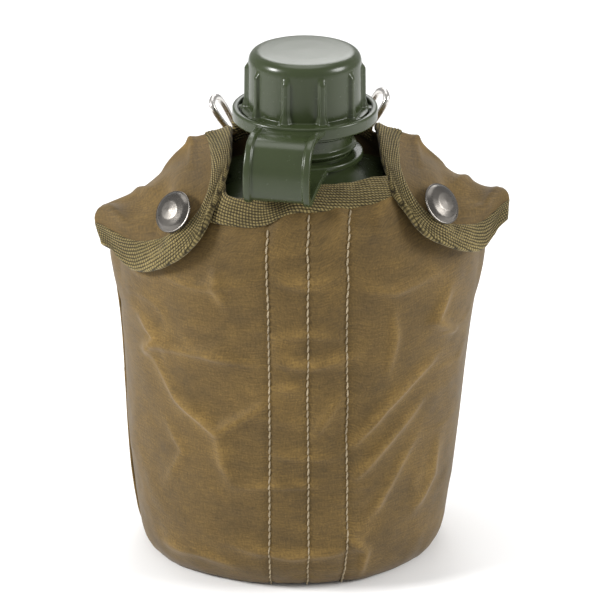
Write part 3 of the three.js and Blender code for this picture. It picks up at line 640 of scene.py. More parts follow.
def canvas():
    made = bpy.data.materials.get("Waxed canvas")
    if made:
        return made
    tones = colours()
    values = {"Yarn": 1.7, "Cloth": rgba(tones.canvas), "Shade": rgba(tones.canvas_dark)}
    settings = {"Sheen Weight": 0.12, "Sheen Roughness": 0.5, "Specular IOR Level": 0.25}
    made = finish_material("Waxed canvas", weave_group, "Waxed weave", values, (0.5, 0.22), settings)
    tree = made.node_tree
    # The crest mask paints the fold crests lighter: worn wax plus a painted highlight.
    wear_and_highlight = node(tree, "Attribute", attribute_name="wear_and_highlight").outputs["Fac"]
    group = next(n for n in tree.nodes if n.type == "GROUP")
    tree.links.new(wear_and_highlight, group.inputs["Wear and highlight"])
    return made


def felt():
    # Near-black felt: partly its own dark tone, partly painted shade inside the mouth of the cover.
    tones = colours()
    shade = rgba([c * 0.6 for c in tones.felt])
    values = {"Yarn": 2.6, "Cloth": rgba(tones.felt), "Shade": shade, "Wear and highlight": 0.0}
    settings = {"Sheen Weight": 0.25, "Specular IOR Level": 0.1}
    return finish_material("Felt lining", weave_group, "Waxed weave", values, (0.8, 0.3), settings)


def tape():
    tones = colours()
    values = {"Pitch": pitch(), "Slant": CORD_SLANT, "Yarn": rgba(tones.tape), "Groove shade": rgba(tones.tape_groove_shade)}
    settings = {"Sheen Weight": 0.1, "Specular IOR Level": 0.2}
    return finish_material("Binding tape", cord_group, "Corded tape", values, (0.55, 0.35), settings)


def webbing():
    tones = colours()
    values = {"Pitch": 1.9, "Slant": 0.0, "Yarn": rgba(tones.tape), "Groove shade": rgba(tones.tape_groove_shade)}
    settings = {"Sheen Weight": 0.1, "Specular IOR Level": 0.2}
    return finish_material("Hanger webbing", cord_group, "Corded tape", values, (0.6, 0.4), settings)


def sewing_thread():
    tones = colours()
    # Painted shade between the twisted strands of the thread.
    groove_shade = rgba([c * 0.45 for c in tones.thread])
    values = {"Pitch": 0.5, "Slant": 0.6, "Yarn": rgba(tones.thread), "Groove shade": groove_shade}
    settings = {"Specular IOR Level": 0.3}
    return finish_material("Sewing thread", cord_group, "Corded tape", values, (0.5, 0.15), settings)


def plastic():
    values = {"Tone": rgba(colours().plastic), "Smooth": 0.25, "Worn": 0.05, "Size": 0.8}
    settings = {"Specular IOR Level": 0.42}
    return finish_material("Moulded green", handled_group, "Handled surface", values, (0.05, 0.05), settings)


def nickel():
    values = {"Tone": rgba(colours().nickel), "Smooth": 0.3, "Worn": 0.24, "Size": 1.9}
    settings = {"Metallic": 1.0}
    return finish_material("Nickel plate", handled_group, "Handled surface", values, (0.25, 0.06), settings)


BRIGHT_WIRE = (0.62, 0.60, 0.57)


def bright_wire():
    values = {"Tone": rgba(BRIGHT_WIRE), "Smooth": 0.24, "Worn": 0.15, "Size": 1.9}
    settings = {"Metallic": 1.0}
    return finish_material("Bright wire", handled_group, "Handled surface", values, (0.1, 0.05), settings)


def rubber():
    values = {"Tone": rgba(colours().rubber), "Smooth": 0.7, "Worn": 0.2, "Size": 1.4}
    return finish_material("Seal rubber", handled_group, "Handled surface", values, (0.2, 0.05), {})


def dress(made, material, body=None, nodes=()):
    """Gives a piece its material, slot and body, and hides the frame nodes that it stands for."""
    made.data.materials.clear()
    made.data.materials.append(material)
    if nodes:
        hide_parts(*nodes)
    if body:
        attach(made, body)
    return made


# ---------------------------------------------------------------- the bottle's kidney shape
# Sections from the base to the neck: height, half width, half depth, how far the ends sweep back, squareness.
BASE_Z = 4.5
SECTIONS = np.array(
    [
        [BASE_Z, 44, 24, 8, 2.4],
        [BASE_Z + 1, 48.5, 28.5, 10, 2.5],
        [9.5, 51.5, 32, 13, 2.6],
        [20, 53.8, 34, 16, 2.6],
        [50, 58.5, 35.5, 18, 2.6],
        [85, 63, 36.5, 19, 2.6],
        [113, 66, 36.5, 18, 2.7],
        [129, 65.5, 36, 16, 2.8],
        [140, 60, 34.5, 12, 2.9],
        [148, 50.5, 31.5, 8, 2.8],
        [154.5, 38.5, 27.5, 4.5, 2.6],
        [159, 27, 22.5, 1.5, 2.3],
        [162, 19.5, 19, 0, 2],
    ]
)
TOP_SECTION = len(SECTIONS) - 1
FELT = (1.6, 2.5)
CANVAS_OUT = 4.5
CANVAS_MIDDLE = 3.9


def section_at(level):
    padded = np.concatenate([SECTIONS[:1], SECTIONS, SECTIONS[-1:]])
    at = np.clip(level, 0, TOP_SECTION)
    i = np.minimum(np.floor(at).astype(int), TOP_SECTION - 1)
    f = (at - i)[..., None]
    p0, p1, p2, p3 = (padded[i + k] for k in range(4))
    m1, m2 = (p2 - p0) / 2, (p3 - p1) / 2
    values = (2 * f**3 - 3 * f**2 + 1) * p1 + (f**3 - 2 * f**2 + f) * m1
    values = values + (3 * f**2 - 2 * f**3) * p2 + (f**3 - f**2) * m2
    return np.moveaxis(values, -1, 0)


def bottle_point(turn, level):
    z, half_width, half_depth, sweep, power = section_at(level)
    angle = np.arctan2(half_depth * np.sin(turn), half_width * np.cos(turn))
    c, s = np.cos(angle), np.sin(angle)
    reach = (np.abs(c / half_width) ** power + np.abs(s / half_depth) ** power) ** (-1 / power)
    x = reach * c
    return np.stack([x, reach * s + sweep * ((x / half_width) ** 2 - 0.4), z], -1)


def outward(turn, level, step=0.01):
    level = np.clip(level, 0.02, TOP_SECTION - 0.02)
    across = bottle_point(turn + step, level) - bottle_point(turn - step, level)
    along = bottle_point(turn, level + step) - bottle_point(turn, level - step)
    normal = np.cross(across, along)
    return normal / np.linalg.norm(normal, axis=-1, keepdims=True)


def slack(turn, level):
    """The cloth stands further off the bottle at the ends of the shoulders, and round the foot."""
    shoulder = smoothstep(level, 6, 8) * np.cos(turn) ** 8
    foot = 1 - smoothstep(level, 3, 5.5)
    return 2.5 * shoulder + 4 * foot


def lifted(turn, level, lift):
    """The bottle's surface lifted along its normal; the cloth layers stack up under the foot."""
    turn, level = np.broadcast_arrays(np.asarray(turn, float), np.asarray(level, float))
    loose = slack(turn, level) if lift > FELT[1] else 0
    point = bottle_point(turn, level) + outward(turn, level) * np.asarray(lift + loose)[..., None]
    point[..., 2] = np.maximum(point[..., 2], 0.15 + max(0, CANVAS_OUT - lift))
    return point


def levels_for(share, low, high):
    """Levels at equal shares of height on the cloth between two levels."""
    every = np.linspace(0, TOP_SECTION, 600)
    path = bottle_point(np.full(600, FRONT), every)
    run = np.concatenate([[0], np.cumsum(np.linalg.norm(np.diff(path, axis=0), axis=1))])
    start, end = np.interp(low, every, run), np.interp(high, every, run)
    return np.interp(start + (end - start) * share, run, every)


def front_edge(turn):
    dip = 0.8 * np.exp(-(((turn - (FRONT - 0.5)) / 0.3) ** 4))
    return 7.7 + 3.1 * np.abs(np.sin(turn)) ** 0.4 - dip


def level_below(turn, level, distance):
    per_level = np.linalg.norm(lifted(turn, level, CANVAS_OUT) - lifted(turn, level - 1, CANVAS_OUT), axis=-1)
    return level - distance / per_level


def lean(points):
    """The full cover sags a little to one side, most of all at its foot."""
    z = points[..., 2]
    outer = smoothstep(np.abs(points[..., 0]), 14, 46)
    shift = (1.0 + outer * (1.0 + 3.0 * (1 - smoothstep(z, 0, 140)))) * (1 - smoothstep(z, 138, 160))
    moved = points.copy()
    moved[..., 0] -= shift
    return moved


SEAM_TURN = 0.004
LEFT_SEAM, RIGHT_SEAM = -math.pi + SEAM_TURN, -SEAM_TURN
CORD_SLANT = 0.16
STITCH_OFFSETS = {"left": -14.3, "centre": 0.0, "right": 14.3}
STITCH_LOW = 1.7


def pitch():
    return sizes("canteen_cover")["cord_pitch"]


# ---------------------------------------------------------------- bottle, cap and strap
def helix_height(theta, z, low, turns, depth, thread_pitch, root=1.1, crest=0.55):
    """How far a right-hand thread stands out at an angle and height, running out at both ends."""
    part = theta / (2 * math.pi)
    whole = np.round((z - low) / thread_pitch - part)
    turn = whole + part
    away = np.abs(z - low - thread_pitch * turn)
    shape = 1 - smoothstep(away, crest, root + 0.35)
    ends = smoothstep(turn, -0.02, 0.22) * (1 - smoothstep(turn, turns - 0.22, turns + 0.02))
    return depth * shape * ends


def bottle_grid(around):
    """Rows of the bottle from the middle of its base, up the outside, over the mouth and down the inside."""
    s = sizes("canteen_bottle")
    turn = np.arange(around) * 2 * math.pi / around
    rows = []
    for shrink in (0.3, 0.7):
        ring = bottle_point(turn, np.zeros(around))
        rows.append(ring * [shrink, shrink, 1])
    for level in levels_for(np.linspace(0, 1, 70), 0, TOP_SECTION):
        rows.append(bottle_point(turn, np.full(around, level)))
    neck = rounded(
        [
            (19.0, 162.4, 0),
            (s["neck_radius"], 163.4, 1.2),
            (s["neck_radius"], 166.9, 0.4),
            (s["flange_radius"], 169.1, 0.5),
            (s["neck_radius"] + 0.4, 170.4, 0.5),
            (s["neck_radius"], s["neck_top"], 0.8),
            (s["neck_bore"], s["neck_top"], 0.8),
            (s["neck_bore"], 158, 0),
        ]
    )
    for r, z in refined(neck, 0.4, False):
        radius = np.full(around, r)
        if r > s["neck_radius"] - 0.05 and z > 170.4:
            radius = radius + helix_height(turn, z, 172.6, 3.25, s["thread_depth"], s["thread_pitch"])
        rows.append(np.stack([radius * np.cos(turn), radius * np.sin(turn), np.full(around, z)], 1))
    for level in np.linspace(TOP_SECTION - 0.9, 0.6, 24):
        level = np.full(around, level)
        rows.append(bottle_point(turn, level) - outward(turn, level) * s["wall"])
    rows.append(rows[-1] * [0.5, 0.5, 1])
    return np.array(rows)


def build_bottle():
    around = 216
    grid = bottle_grid(around)
    count = len(grid)
    flat = np.concatenate([grid.reshape(-1, 3), [grid[0].mean(0), grid[-1].mean(0)]])
    faces = [list(quad) for quad in grid_quads(count, around, False, True)]
    n, top = count * around, (count - 1) * around
    for k in range(around):
        faces.append([n, (k + 1) % around, k])
        faces.append([n + 1, top + k, top + (k + 1) % around])
    made = make_mesh("bottle", flat, faces, flat[:, :2])
    face_out(made)
    return dress(made, plastic(), ROOT, ["bottle_shell"])


CAP_LOW, CAP_TOP = 176.0, 206.0
CAP_RIBS = 10


def build_cap():
    s = sizes("canteen_cap")
    radius, bore, flange = s["radius"], s["bore"], s["flange_radius"]
    outline = rounded(
        [
            (0, CAP_TOP + 0.25, 0),
            (radius * 0.55, CAP_TOP + 0.15, 4),
            (radius - 0.35, CAP_TOP - 0.1, s["fillet"]),
            (radius, 183.9, 0.5),
            (flange, 183.25, 0.35),
            (flange + 0.05, 181.6, 0.35),
            (radius - 0.1, 181.3, 0.5),
            (radius - 0.1, 178.4, 0.4),
            (radius + 0.9, 177.7, 0.5),
            (radius + 0.9, 176.7, 0.4),
            (radius - 0.2, CAP_LOW, 0.4),
            (bore, CAP_LOW, 0.4),
            (bore, CAP_TOP - 2.4, 0.8),
            (0, CAP_TOP - 2.4, 0),
        ],
        steps=9,
    )

    def ribs(theta, r, z):
        each = 2 * math.pi / CAP_RIBS
        away = (theta - FRONT - 0.25 + each / 2) % each - each / 2
        side = np.abs(away) * radius
        wall = (r > radius * 0.88) & (z > 183.3)
        flare = smoothstep(z, 187.5, 183.3)
        width = s["rib_width"] * (1 + 0.6 * flare)
        across = np.exp(-((side / width) ** 5))
        top = 1 - smoothstep(z, 198.6, 201.6)
        grip = across * top * (s["rib_height"] + 0.7 * flare) * wall
        inside = (r < bore + 0.05) & (z < 200)
        return grip - helix_height(theta, z, 180.1, 1.5, 1.45, 5) * inside

    made = turned("cap", outline, 480, 0.45, ribs)
    return dress(made, plastic(), "cap", ["screw_cap"])


STRAP_YAW = math.radians(-15.4)
STRAP_RUN = [
    (27, 182.0),
    (31, 182.1),
    (36, 182.6),
    (42.0, 180.8),
    (45.8, 175.2),
    (46.8, 169.0),
    (46.2, 164.2),
    (43.0, 161.6),
    (34.0, 163.1),
    (22, 165.0),
]


def build_rings():
    neck = turned(
        "neck_ring",
        rounded(
            [(17.95, 163.9, 0.3), (22.2, 163.9, 0.7), (22.2, 166.3, 0.7), (17.95, 166.3, 0.3)],
        ),
        120,
    )
    cap = turned(
        "cap_ring",
        rounded(
            [
                (22.1, 178.9, 0.3),
                (27.6, 178.9, 0.9),
                (27.6, 184.0, 0.9),
                (25.3, 184.0, 0.8),
                (25.1, 180.9, 0.3),
                (22.1, 180.9, 0.3),
            ]
        ),
        160,
    )
    for ring in (neck, cap):
        ring.data.transform(Matrix.Rotation(STRAP_YAW, 4, "Z"))
    dress(neck, plastic(), "strap", ["strap_neck_ring"])
    dress(cap, plastic(), "cap_ring", ["strap_cap_ring"])
    return neck, cap


def band_section(half, thick, bead):
    """Closed section of the band: (sideways, outwards), with a bead along each outer edge."""
    outline = [
        (-half, -thick / 2, 0.5),
        (half, -thick / 2, 0.5),
        (half, thick / 2 + bead, 0.7),
        (half - 2.3, thick / 2 + bead, 0.7),
        (half - 2.9, thick / 2, 0.5),
        (-half + 2.9, thick / 2, 0.5),
        (-half + 2.3, thick / 2 + bead, 0.7),
        (-half, thick / 2 + bead, 0.7),
    ]
    return refined(rounded(outline), 1.2, True)


def build_band():
    s = sizes("canteen_strap")
    half = s["width"] / 2
    section = band_section(half, s["thick"], s["bead"])
    share = np.linspace(0, 1, 90)
    run = run_along(STRAP_RUN, share)
    ahead = np.gradient(run, axis=0)
    ahead /= np.linalg.norm(ahead, axis=1, keepdims=True)
    rows = []
    for k, ((r, z), (dr, dz)) in enumerate(zip(run, ahead)):
        flare = 1 + 0.07 * smoothstep(share[k], 0.10, 0.0) + 0.03 * smoothstep(share[k], 0.93, 1.0)
        sideways = section[:, 0] * flare
        beads = 1 - 0.9 * smoothstep(share[k], 0.08, 0.0)
        above = section[:, 1] - s["thick"] / 2
        out = np.where(above > 0, s["thick"] / 2 + above * beads, section[:, 1])
        reach = r - dz * out
        height = z + dr * out
        near_cap = smoothstep(share[k], 0.16, 0.0)
        near_neck = smoothstep(share[k], 0.80, 1.0)
        reach = reach - near_cap * (27 - np.sqrt(np.maximum(26.6**2 - sideways**2, 0)))
        reach = reach - near_neck * (22 - np.sqrt(np.maximum(21.4**2 - sideways**2, 0)))
        rows.append(np.stack([sideways, -reach, height], 1))
    grid = np.array(rows)
    count, around = grid.shape[:2]
    flat = grid.reshape(-1, 3)
    faces = [list(q) for q in grid_quads(count, around, False, True)]
    faces.append(list(range(around)))
    faces.append(list(range((count - 1) * around, count * around))[::-1])
    made = make_mesh("strap_band_moulded", flat, faces, flat[:, [0, 2]])
    face_out(made)
    made.data.transform(Matrix.Rotation(STRAP_YAW, 4, "Z"))
    dress(made, plastic(), None, ["strap_band"])
    out = Vector((math.sin(STRAP_YAW), -math.cos(STRAP_YAW), 0)) * 0.04
    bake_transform(made)
    return made


def build_seal():
    node_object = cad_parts["cap_seal"]
    node_object.data.materials.clear()
    node_object.data.materials.append(rubber())


# ---------------------------------------------------------------- felt lining and canvas panels
# Folds over the front, in millimetres right of the middle and above the base: line, width and height.
FRONT_FOLDS = [
    ([(-58, 94), (-46, 78), (-32, 68), (-20, 78), (-11, 86)], 2.6, 1.3),
    ([(-32, 68), (-30, 56), (-27, 47)], 2.6, 0.9),
    ([(-58, 97), (-38, 99), (-16, 97)], 2.2, 1.0),
    ([(-13, 109), (0, 110), (14, 108)], 2.0, 0.8),
    ([(-13, 99), (0, 97), (20, 101)], 2.0, 0.8),
    ([(-11, 88), (-2, 89)], 2.0, 0.7),
    ([(-14, 61), (0, 59), (12, 60)], 2.2, 0.7),
    ([(-28, 47), (-8, 48), (6, 48)], 2.4, 0.9),
    ([(-29, 21), (-6, 18), (20, 20)], 2.6, 1.0),
    ([(14, 62), (30, 78), (53, 93)], 2.6, 1.5),
    ([(15, 48), (30, 62), (48, 77)], 2.8, 1.3),
    ([(26, 34), (38, 52), (46, 62)], 2.8, 0.9),
    ([(13, 86), (6, 76), (1, 66)], 2.0, 0.8),
    ([(12, 30), (23, 17), (21, 4)], 2.4, 1.0),
    ([(33, 118), (34, 104), (31, 90)], 2.6, 0.9),
    ([(-34, 134), (-33, 126), (-30, 119)], 2.6, 0.9),
    ([(-54, 128), (-40, 126), (-22, 129)], 2.4, 0.7),
    ([(-13, 131), (0, 129), (14, 132)], 2.2, 0.8),
    ([(20, 127), (34, 124), (52, 128)], 2.6, 0.8),
    ([(-52, 12), (-38, 14), (-24, 11)], 2.6, 0.8),
    ([(-62, 108), (-54, 100), (-60, 90)], 2.8, 1.4),
    ([(56, 120), (50, 108), (60, 98)], 2.8, 1.3),
    ([(44, 28), (52, 40), (54, 56)], 2.4, 0.8),
    ([(-50, 40), (-44, 56), (-52, 68)], 2.6, 0.8),
]


FOLD_WIDTH, FOLD_HEIGHT = 0.7, 1.35  # how sharp and how high the folds are pressed
CREST_LIFT = 1.7  # what stands out of a panel is heightened by this
DEEPEST = -0.9  # a panel sinks no deeper than this towards the felt


def cloth_relief(points, folds, seed, strength):
    """Height of lumps and folds over a panel, and a crest mask that lightens the cloth: partly worn wax,
    partly a painted highlight on the crests.
    """
    x, z = points[..., 0], points[..., 2]
    total = 0.75 * lumps(points, 27, seed) + 0.32 * lumps(points, 11, seed + 1)
    total = total + 0.10 * lumps(points, 4.5, seed + 2)
    crest = np.zeros_like(x)
    for line, width, height in folds:
        fold = crease(x, z, line, width * FOLD_WIDTH, height * FOLD_HEIGHT)
        total = total + fold
        # Crests of the folds feed the lightening mask: worn wax plus a painted highlight.
        crest = np.maximum(crest, fold / 1.5)
    ridge = 1 - np.abs(lumps(points * [1, 1, 1.5], 20, seed + 5)) * 5
    ridge = np.clip(ridge, 0, 1) * np.clip(lumps(points, 33, seed + 6), 0, 1)
    total = total + 0.8 * ridge
    total = np.where(total > 0, total * CREST_LIFT, total)
    return total * strength, np.clip(0.95 * crest + 0.6 * ridge, 0, 1)


def stitch_turn(offset, level):
    spread_at = offset * (0.83 + 0.17 * np.minimum(1, level / 7))
    return FRONT + np.arcsin(spread_at / section_at(level)[1])


PUCKER_PITCH = 6.2


def front_middle(turn, level):
    """Middle of the front panel's canvas, with its folds, puckered along the rows of stitching."""
    cover = bpy.context.scene.canteen_cover
    base = lifted(turn, level, CANVAS_MIDDLE)
    relief, wear_and_highlight = cloth_relief(base, FRONT_FOLDS, 11, cover.crease)
    groove = 0.0
    for offset in STITCH_OFFSETS.values():
        away = (turn - stitch_turn(offset, level)) * section_at(level)[1]
        pucker = 0.25 * np.sin(base[..., 2] * 2 * math.pi / PUCKER_PITCH + offset)
        groove = groove + bell(away, 1.3) * 0.55 + bell(away, 5) * pucker * 0.5
    keep = smoothstep(level, 0.2, 1.4)
    side = smoothstep(np.abs(np.cos(turn)), 1.0, 0.93)
    z = base[..., 2]
    swell = (1.8 * bell(z - 122, 16) - 1.0 * bell(z - 103, 6)) * (1 - side)
    height = relief * keep * (0.5 + 0.5 * side) + swell - groove * keep
    height = np.maximum(height, DEEPEST)
    normal = outward(turn, level)
    return lean(base + normal * height[..., None]), wear_and_highlight * keep


def build_front():
    u = shares(210, 0.004)
    v = shares(150, 0.004)
    turn = (LEFT_SEAM + (RIGHT_SEAM - LEFT_SEAM) * u)[None, :]
    top = level_below(turn, front_edge(turn), sizes("canteen_cover")["tape_width"] - 1.5)
    level = levels_for(v[:, None] * np.ones_like(turn), 0.0, top)
    turn = np.broadcast_to(turn, level.shape)
    middle, wear_and_highlight = front_middle(turn, level)
    made = slab("front_canvas", middle, sizes("canteen_cover")["canvas"], masks={"wear_and_highlight": wear_and_highlight})
    dress(made, canvas(), ROOT, ["cover_front_right", "cover_front_left"])
    return made


def build_lining():
    felt_thick = FELT[1] - FELT[0]
    middle_lift = sum(FELT) / 2
    u, v = shares(90, 0.004), shares(60, 0.004)
    turn = (LEFT_SEAM + (RIGHT_SEAM - LEFT_SEAM) * u)[None, :]
    level = levels_for(v[:, None] * np.ones_like(turn), 0.6, front_edge(turn) - 1.6)
    front = slab("lining_front_felt", lean(lifted(turn, level, middle_lift)), felt_thick)
    turn = (math.pi * (0.004 + 0.992 * u))[None, :]
    level = levels_for(v[:, None] * np.ones_like(turn), 0.6, np.full_like(turn, 6.5))
    back = slab("lining_back_felt", lean(lifted(turn, level, middle_lift)), felt_thick)
    base = kidney_plate("lining_base_felt", 1.5, 4.2, 3.0)
    for made, name in ((front, "lining_front"), (back, "lining_back"), (base, "lining_base")):
        dress(made, felt(), ROOT, [name])


def kidney_plate(name, low, high, inset):
    """A flat kidney-shaped layer under the bottle, with a rounded rim."""
    around, thick = 160, high - low
    turn = np.arange(around) * 2 * math.pi / around
    edge = bottle_point(turn, np.full(around, 0.25))
    edge[:, 0] -= np.sign(edge[:, 0]) * np.minimum(np.abs(edge[:, 0]), inset) * np.abs(edge[:, 0] / 46)
    edge[:, 1] *= 1 - inset / 26
    edge = lean(edge * [1, 1, 0])
    centre = edge.mean(0)
    rows = []
    for sign, fractions in ((-1, np.linspace(0.05, 1, 14)), (1, np.linspace(1, 0.05, 14))):
        for share in fractions:
            inward = (1 - share) * 45
            swell = math.sqrt(max(0.0, 1 - max(0.0, 1 - inward / (thick / 2)) ** 2)) if share < 1 else 0.0
            if sign > 0 and share == 1:
                continue
            ring = centre + (edge - centre) * share
            ring[:, 2] = (low + high) / 2 + sign * swell * thick / 2
            rows.append(ring)
    grid = np.array(rows)
    flat = np.concatenate([grid.reshape(-1, 3), [[*centre[:2], low], [*centre[:2], high]]])
    faces = [list(q) for q in grid_quads(len(grid), around, False, True)]
    n, last = len(grid) * around, (len(grid) - 1) * around
    for k in range(around):
        faces.append([n, (k + 1) % around, k])
        faces.append([n + 1, last + k, last + (k + 1) % around])
    made = make_mesh(name, flat, faces, flat[:, :2])
    face_out(made)
    reach = edge.max(0) - edge.min(0)
    made["cut"] = [float(reach[0] * MM), float(reach[1] * MM)]
    return made


FOLD_IN = np.array([28.0, 20.0, 168.0])
FOLD_OUT = np.array([72.5, 11.5, 138.5])
COLLAR_Y, COLLAR_Z = 27.5, 170.5
BACK_LEVEL = 7.0
BACK_TOP = [
    FOLD_OUT,
    FOLD_IN + 0.66 * (FOLD_OUT - FOLD_IN),
    FOLD_IN + 0.33 * (FOLD_OUT - FOLD_IN),
    FOLD_IN,
    (18, 25.5, COLLAR_Z),
    (0, COLLAR_Y, COLLAR_Z),
]
BACK_FOLDS = [
    ([(-50, 120), (-30, 112), (-16, 118)], 2.8, 1.0),
    ([(50, 108), (34, 98), (18, 104)], 2.8, 1.0),
    ([(-46, 62), (-20, 54), (6, 60), (30, 52)], 3.0, 1.0),
    ([(44, 40), (24, 30), (8, 34)], 2.8, 0.9),
    ([(-52, 30), (-36, 44), (-24, 34)], 2.8, 0.9),
    ([(40, 76), (28, 86), (36, 98)], 2.6, 0.8),
]


def back_middle(u, v):
    """Middle of the back panel: u from the right seam to the left one, v from the base to the top edge."""
    split = 0.72
    turn = SEAM_TURN + (math.pi - 2 * SEAM_TURN) * u
    lower_share = np.clip(v / split, 0, 1)
    level = levels_for(lower_share, 0.0, np.full_like(v, BACK_LEVEL))
    foot = lifted(turn, level, CANVAS_MIDDLE)
    side = np.where(u <= 0.5, 1.0, -1.0)
    share = np.where(side > 0, 2 * u, 2 - 2 * u) ** 1.6
    head = run_along(BACK_TOP, share.ravel()).reshape(share.shape + (3,))
    head[..., 0] *= side
    head[..., 2] -= 2.5
    out = outward(turn, np.full_like(u, BACK_LEVEL))
    out[..., 2] = 0
    out /= np.linalg.norm(out, axis=-1, keepdims=True)
    head = head - out * (CANVAS_OUT - CANVAS_MIDDLE)
    middle = foot.copy()
    middle[..., 2] = (foot[..., 2] + head[..., 2]) / 2
    middle = middle + out * 0.5
    t = np.clip((v - split) / (1 - split), 0, 1)[..., None]
    upper = (1 - t) ** 2 * foot + 2 * t * (1 - t) * middle + t**2 * head
    return np.where((v <= split)[..., None], foot, upper)


def build_back():
    cover = bpy.context.scene.canteen_cover
    u = shares(150, 0.004)[None, :]
    v = shares(130, 0.004)[:, None]
    u, v = np.broadcast_arrays(u, v)
    base = back_middle(u, v)
    relief, wear_and_highlight = cloth_relief(base, BACK_FOLDS, 41, cover.crease)
    flat_by_hanger = 1 - bell(np.maximum(np.abs(base[..., 0]) - 12, 0), 4) * smoothstep(base[..., 2], 86, 92)
    keep = smoothstep(v, 0.0, 0.06) * smoothstep(v, 1.0, 0.93) * smoothstep(np.abs(u - 0.5), 0.5, 0.46)
    height = np.maximum(relief, DEEPEST) * keep * flat_by_hanger
    middle = lean(base + grid_out(base) * height[..., None])
    made = slab("back_canvas", middle, sizes("canteen_cover")["canvas"], masks={"wear_and_highlight": wear_and_highlight * keep})
    dress(made, canvas(), ROOT, ["cover_back"])
    build_side_seams()


def grid_out(points):
    """Normals of a grid, turned to point away from the middle of the bottle."""
    normal = grid_normals(points)
    away = points - [0, 0, 80]
    away[..., 2] = 0
    flip = np.sign(np.einsum("...k,...k->...", normal, away))
    return normal * np.where(flip == 0, 1, flip)[..., None]


def build_base():
    made = kidney_plate("base_canvas", 0.0, 1.2, 2.5)
    dress(made, canvas(), ROOT, ["cover_base"])


def build_side_seams():
    """A felled seam down each side, where the front and back panels are sewn together."""
    seams = []
    for side, name in ((1, "right"), (-1, "left")):
        middle_turn = 0.0 if side > 0 else math.pi
        levels = levels_for(shares(120, 0.004), 0.9, 7.6)
        across = shares(5, 0.2, 3) - 0.5
        half_turn = 3.2 / section_at(levels)[1]
        turn = middle_turn + across[None, :] * 2 * half_turn[:, None] + side * 0.02
        level = np.broadcast_to(levels[:, None], turn.shape)
        wave = 0.25 * lumps(np.stack([level * 12, turn * 0, turn * 0], -1), 8, 61)
        points = lifted(turn, level, CANVAS_OUT + 0.25) + outward(turn, level) * wave[..., None]
        # Lighter along the seam's raised edge: worn wax plus a painted highlight on its ridge.
        wear_and_highlight = 0.35 + 0.3 * bell(across * 6.4 - 1.4, 0.9)[None, :] * np.ones_like(turn)
        made = slab(f"side_seam_{name}", lean(points), 1.1, masks={"wear_and_highlight": wear_and_highlight})
        seams.append(dress(made, canvas(), ROOT))
    return seams


# ---------------------------------------------------------------- binding tape and stitching
def cord_relief(along, across):
    """Height of the tape's slanting cords over its two directions in millimetres."""
    height = sizes("canteen_cover")["cord_height"]
    cord = (across + CORD_SLANT * along) / pitch()
    return height * (np.abs(np.sin(math.pi * cord)) ** 0.8 - 0.6)


def tape_slab(name, middle, thick, swap=False):
    """A strip of folded tape round a grid of middle points, corded on both faces."""
    across, down = run_lengths(middle, 1), run_lengths(middle, 0)
    if swap:
        along, over = down.mean(1, keepdims=True), across.mean(0, keepdims=True)
    else:
        along, over = across.mean(0, keepdims=True), down.mean(1, keepdims=True)
    along, over = np.broadcast_arrays(along, over)
    relief = cord_relief(along, over)
    uv = np.stack([along, over], -1)
    return slab(name, middle, thick, relief=relief, under=relief, uv=uv)


def build_front_binding():
    s = sizes("canteen_cover")
    u, v = shares(420, 0.005), shares(44, 0.08)
    turn = (LEFT_SEAM + (RIGHT_SEAM - LEFT_SEAM) * u)[None, :]
    edge = front_edge(turn)
    low = level_below(turn, edge, s["tape_width"])
    level = low + (edge - low) * v[:, None]
    turn = np.broadcast_to(turn, level.shape)
    base = lifted(turn, level, CANVAS_MIDDLE + 0.4)
    share = np.broadcast_to(v[:, None], level.shape)
    x = base[..., 0]
    wave = 0.9 * lumps(base * [1, 0, 0], 13, 71) + 0.5 * lumps(base * [1, 0, 0], 6, 72)
    tip = 1.6 * bell(x + 24, 8) * share - 1.2 * bell(x - 4, 9) * share + 1.4 * bell(x - 22, 10) * share
    under_flap = smoothstep(np.abs(x), 38, 52)
    height = (wave * (0.3 + 0.7 * share) + tip) * (1 - under_flap) - 0.6 * under_flap * share
    height = np.maximum(height, -0.6)
    made = tape_slab("front_tape", lean(base + outward(turn, level) * height[..., None]), s["tape_thick"])
    dress(made, tape(), ROOT, ["front_binding"])


def build_collar_binding():
    s = sizes("canteen_cover")
    u = shares(200, 0.01)
    share = -1 + 2 * u
    path = run_along(BACK_TOP, 1 - 0.34 * np.abs(share))
    path[:, 0] *= np.where(share < 0, -1, 1)
    ahead = np.gradient(path, axis=0)
    out = np.stack([-ahead[:, 1], ahead[:, 0], np.zeros(len(u))], 1)
    out /= np.linalg.norm(out, axis=1, keepdims=True)
    v = shares(34, 0.12)
    rows = []
    for t in v:
        row = path + out * (0.6 + 0.35 * np.sin(u * 23) * t)[:, None]
        row = row + [0, 0, 4.8 - s["tape_width"] * (1 - t)]
        rows.append(row)
    made = tape_slab("collar_tape", np.array(rows), s["tape_thick"])
    dress(made, tape(), ROOT, ["collar_binding"])


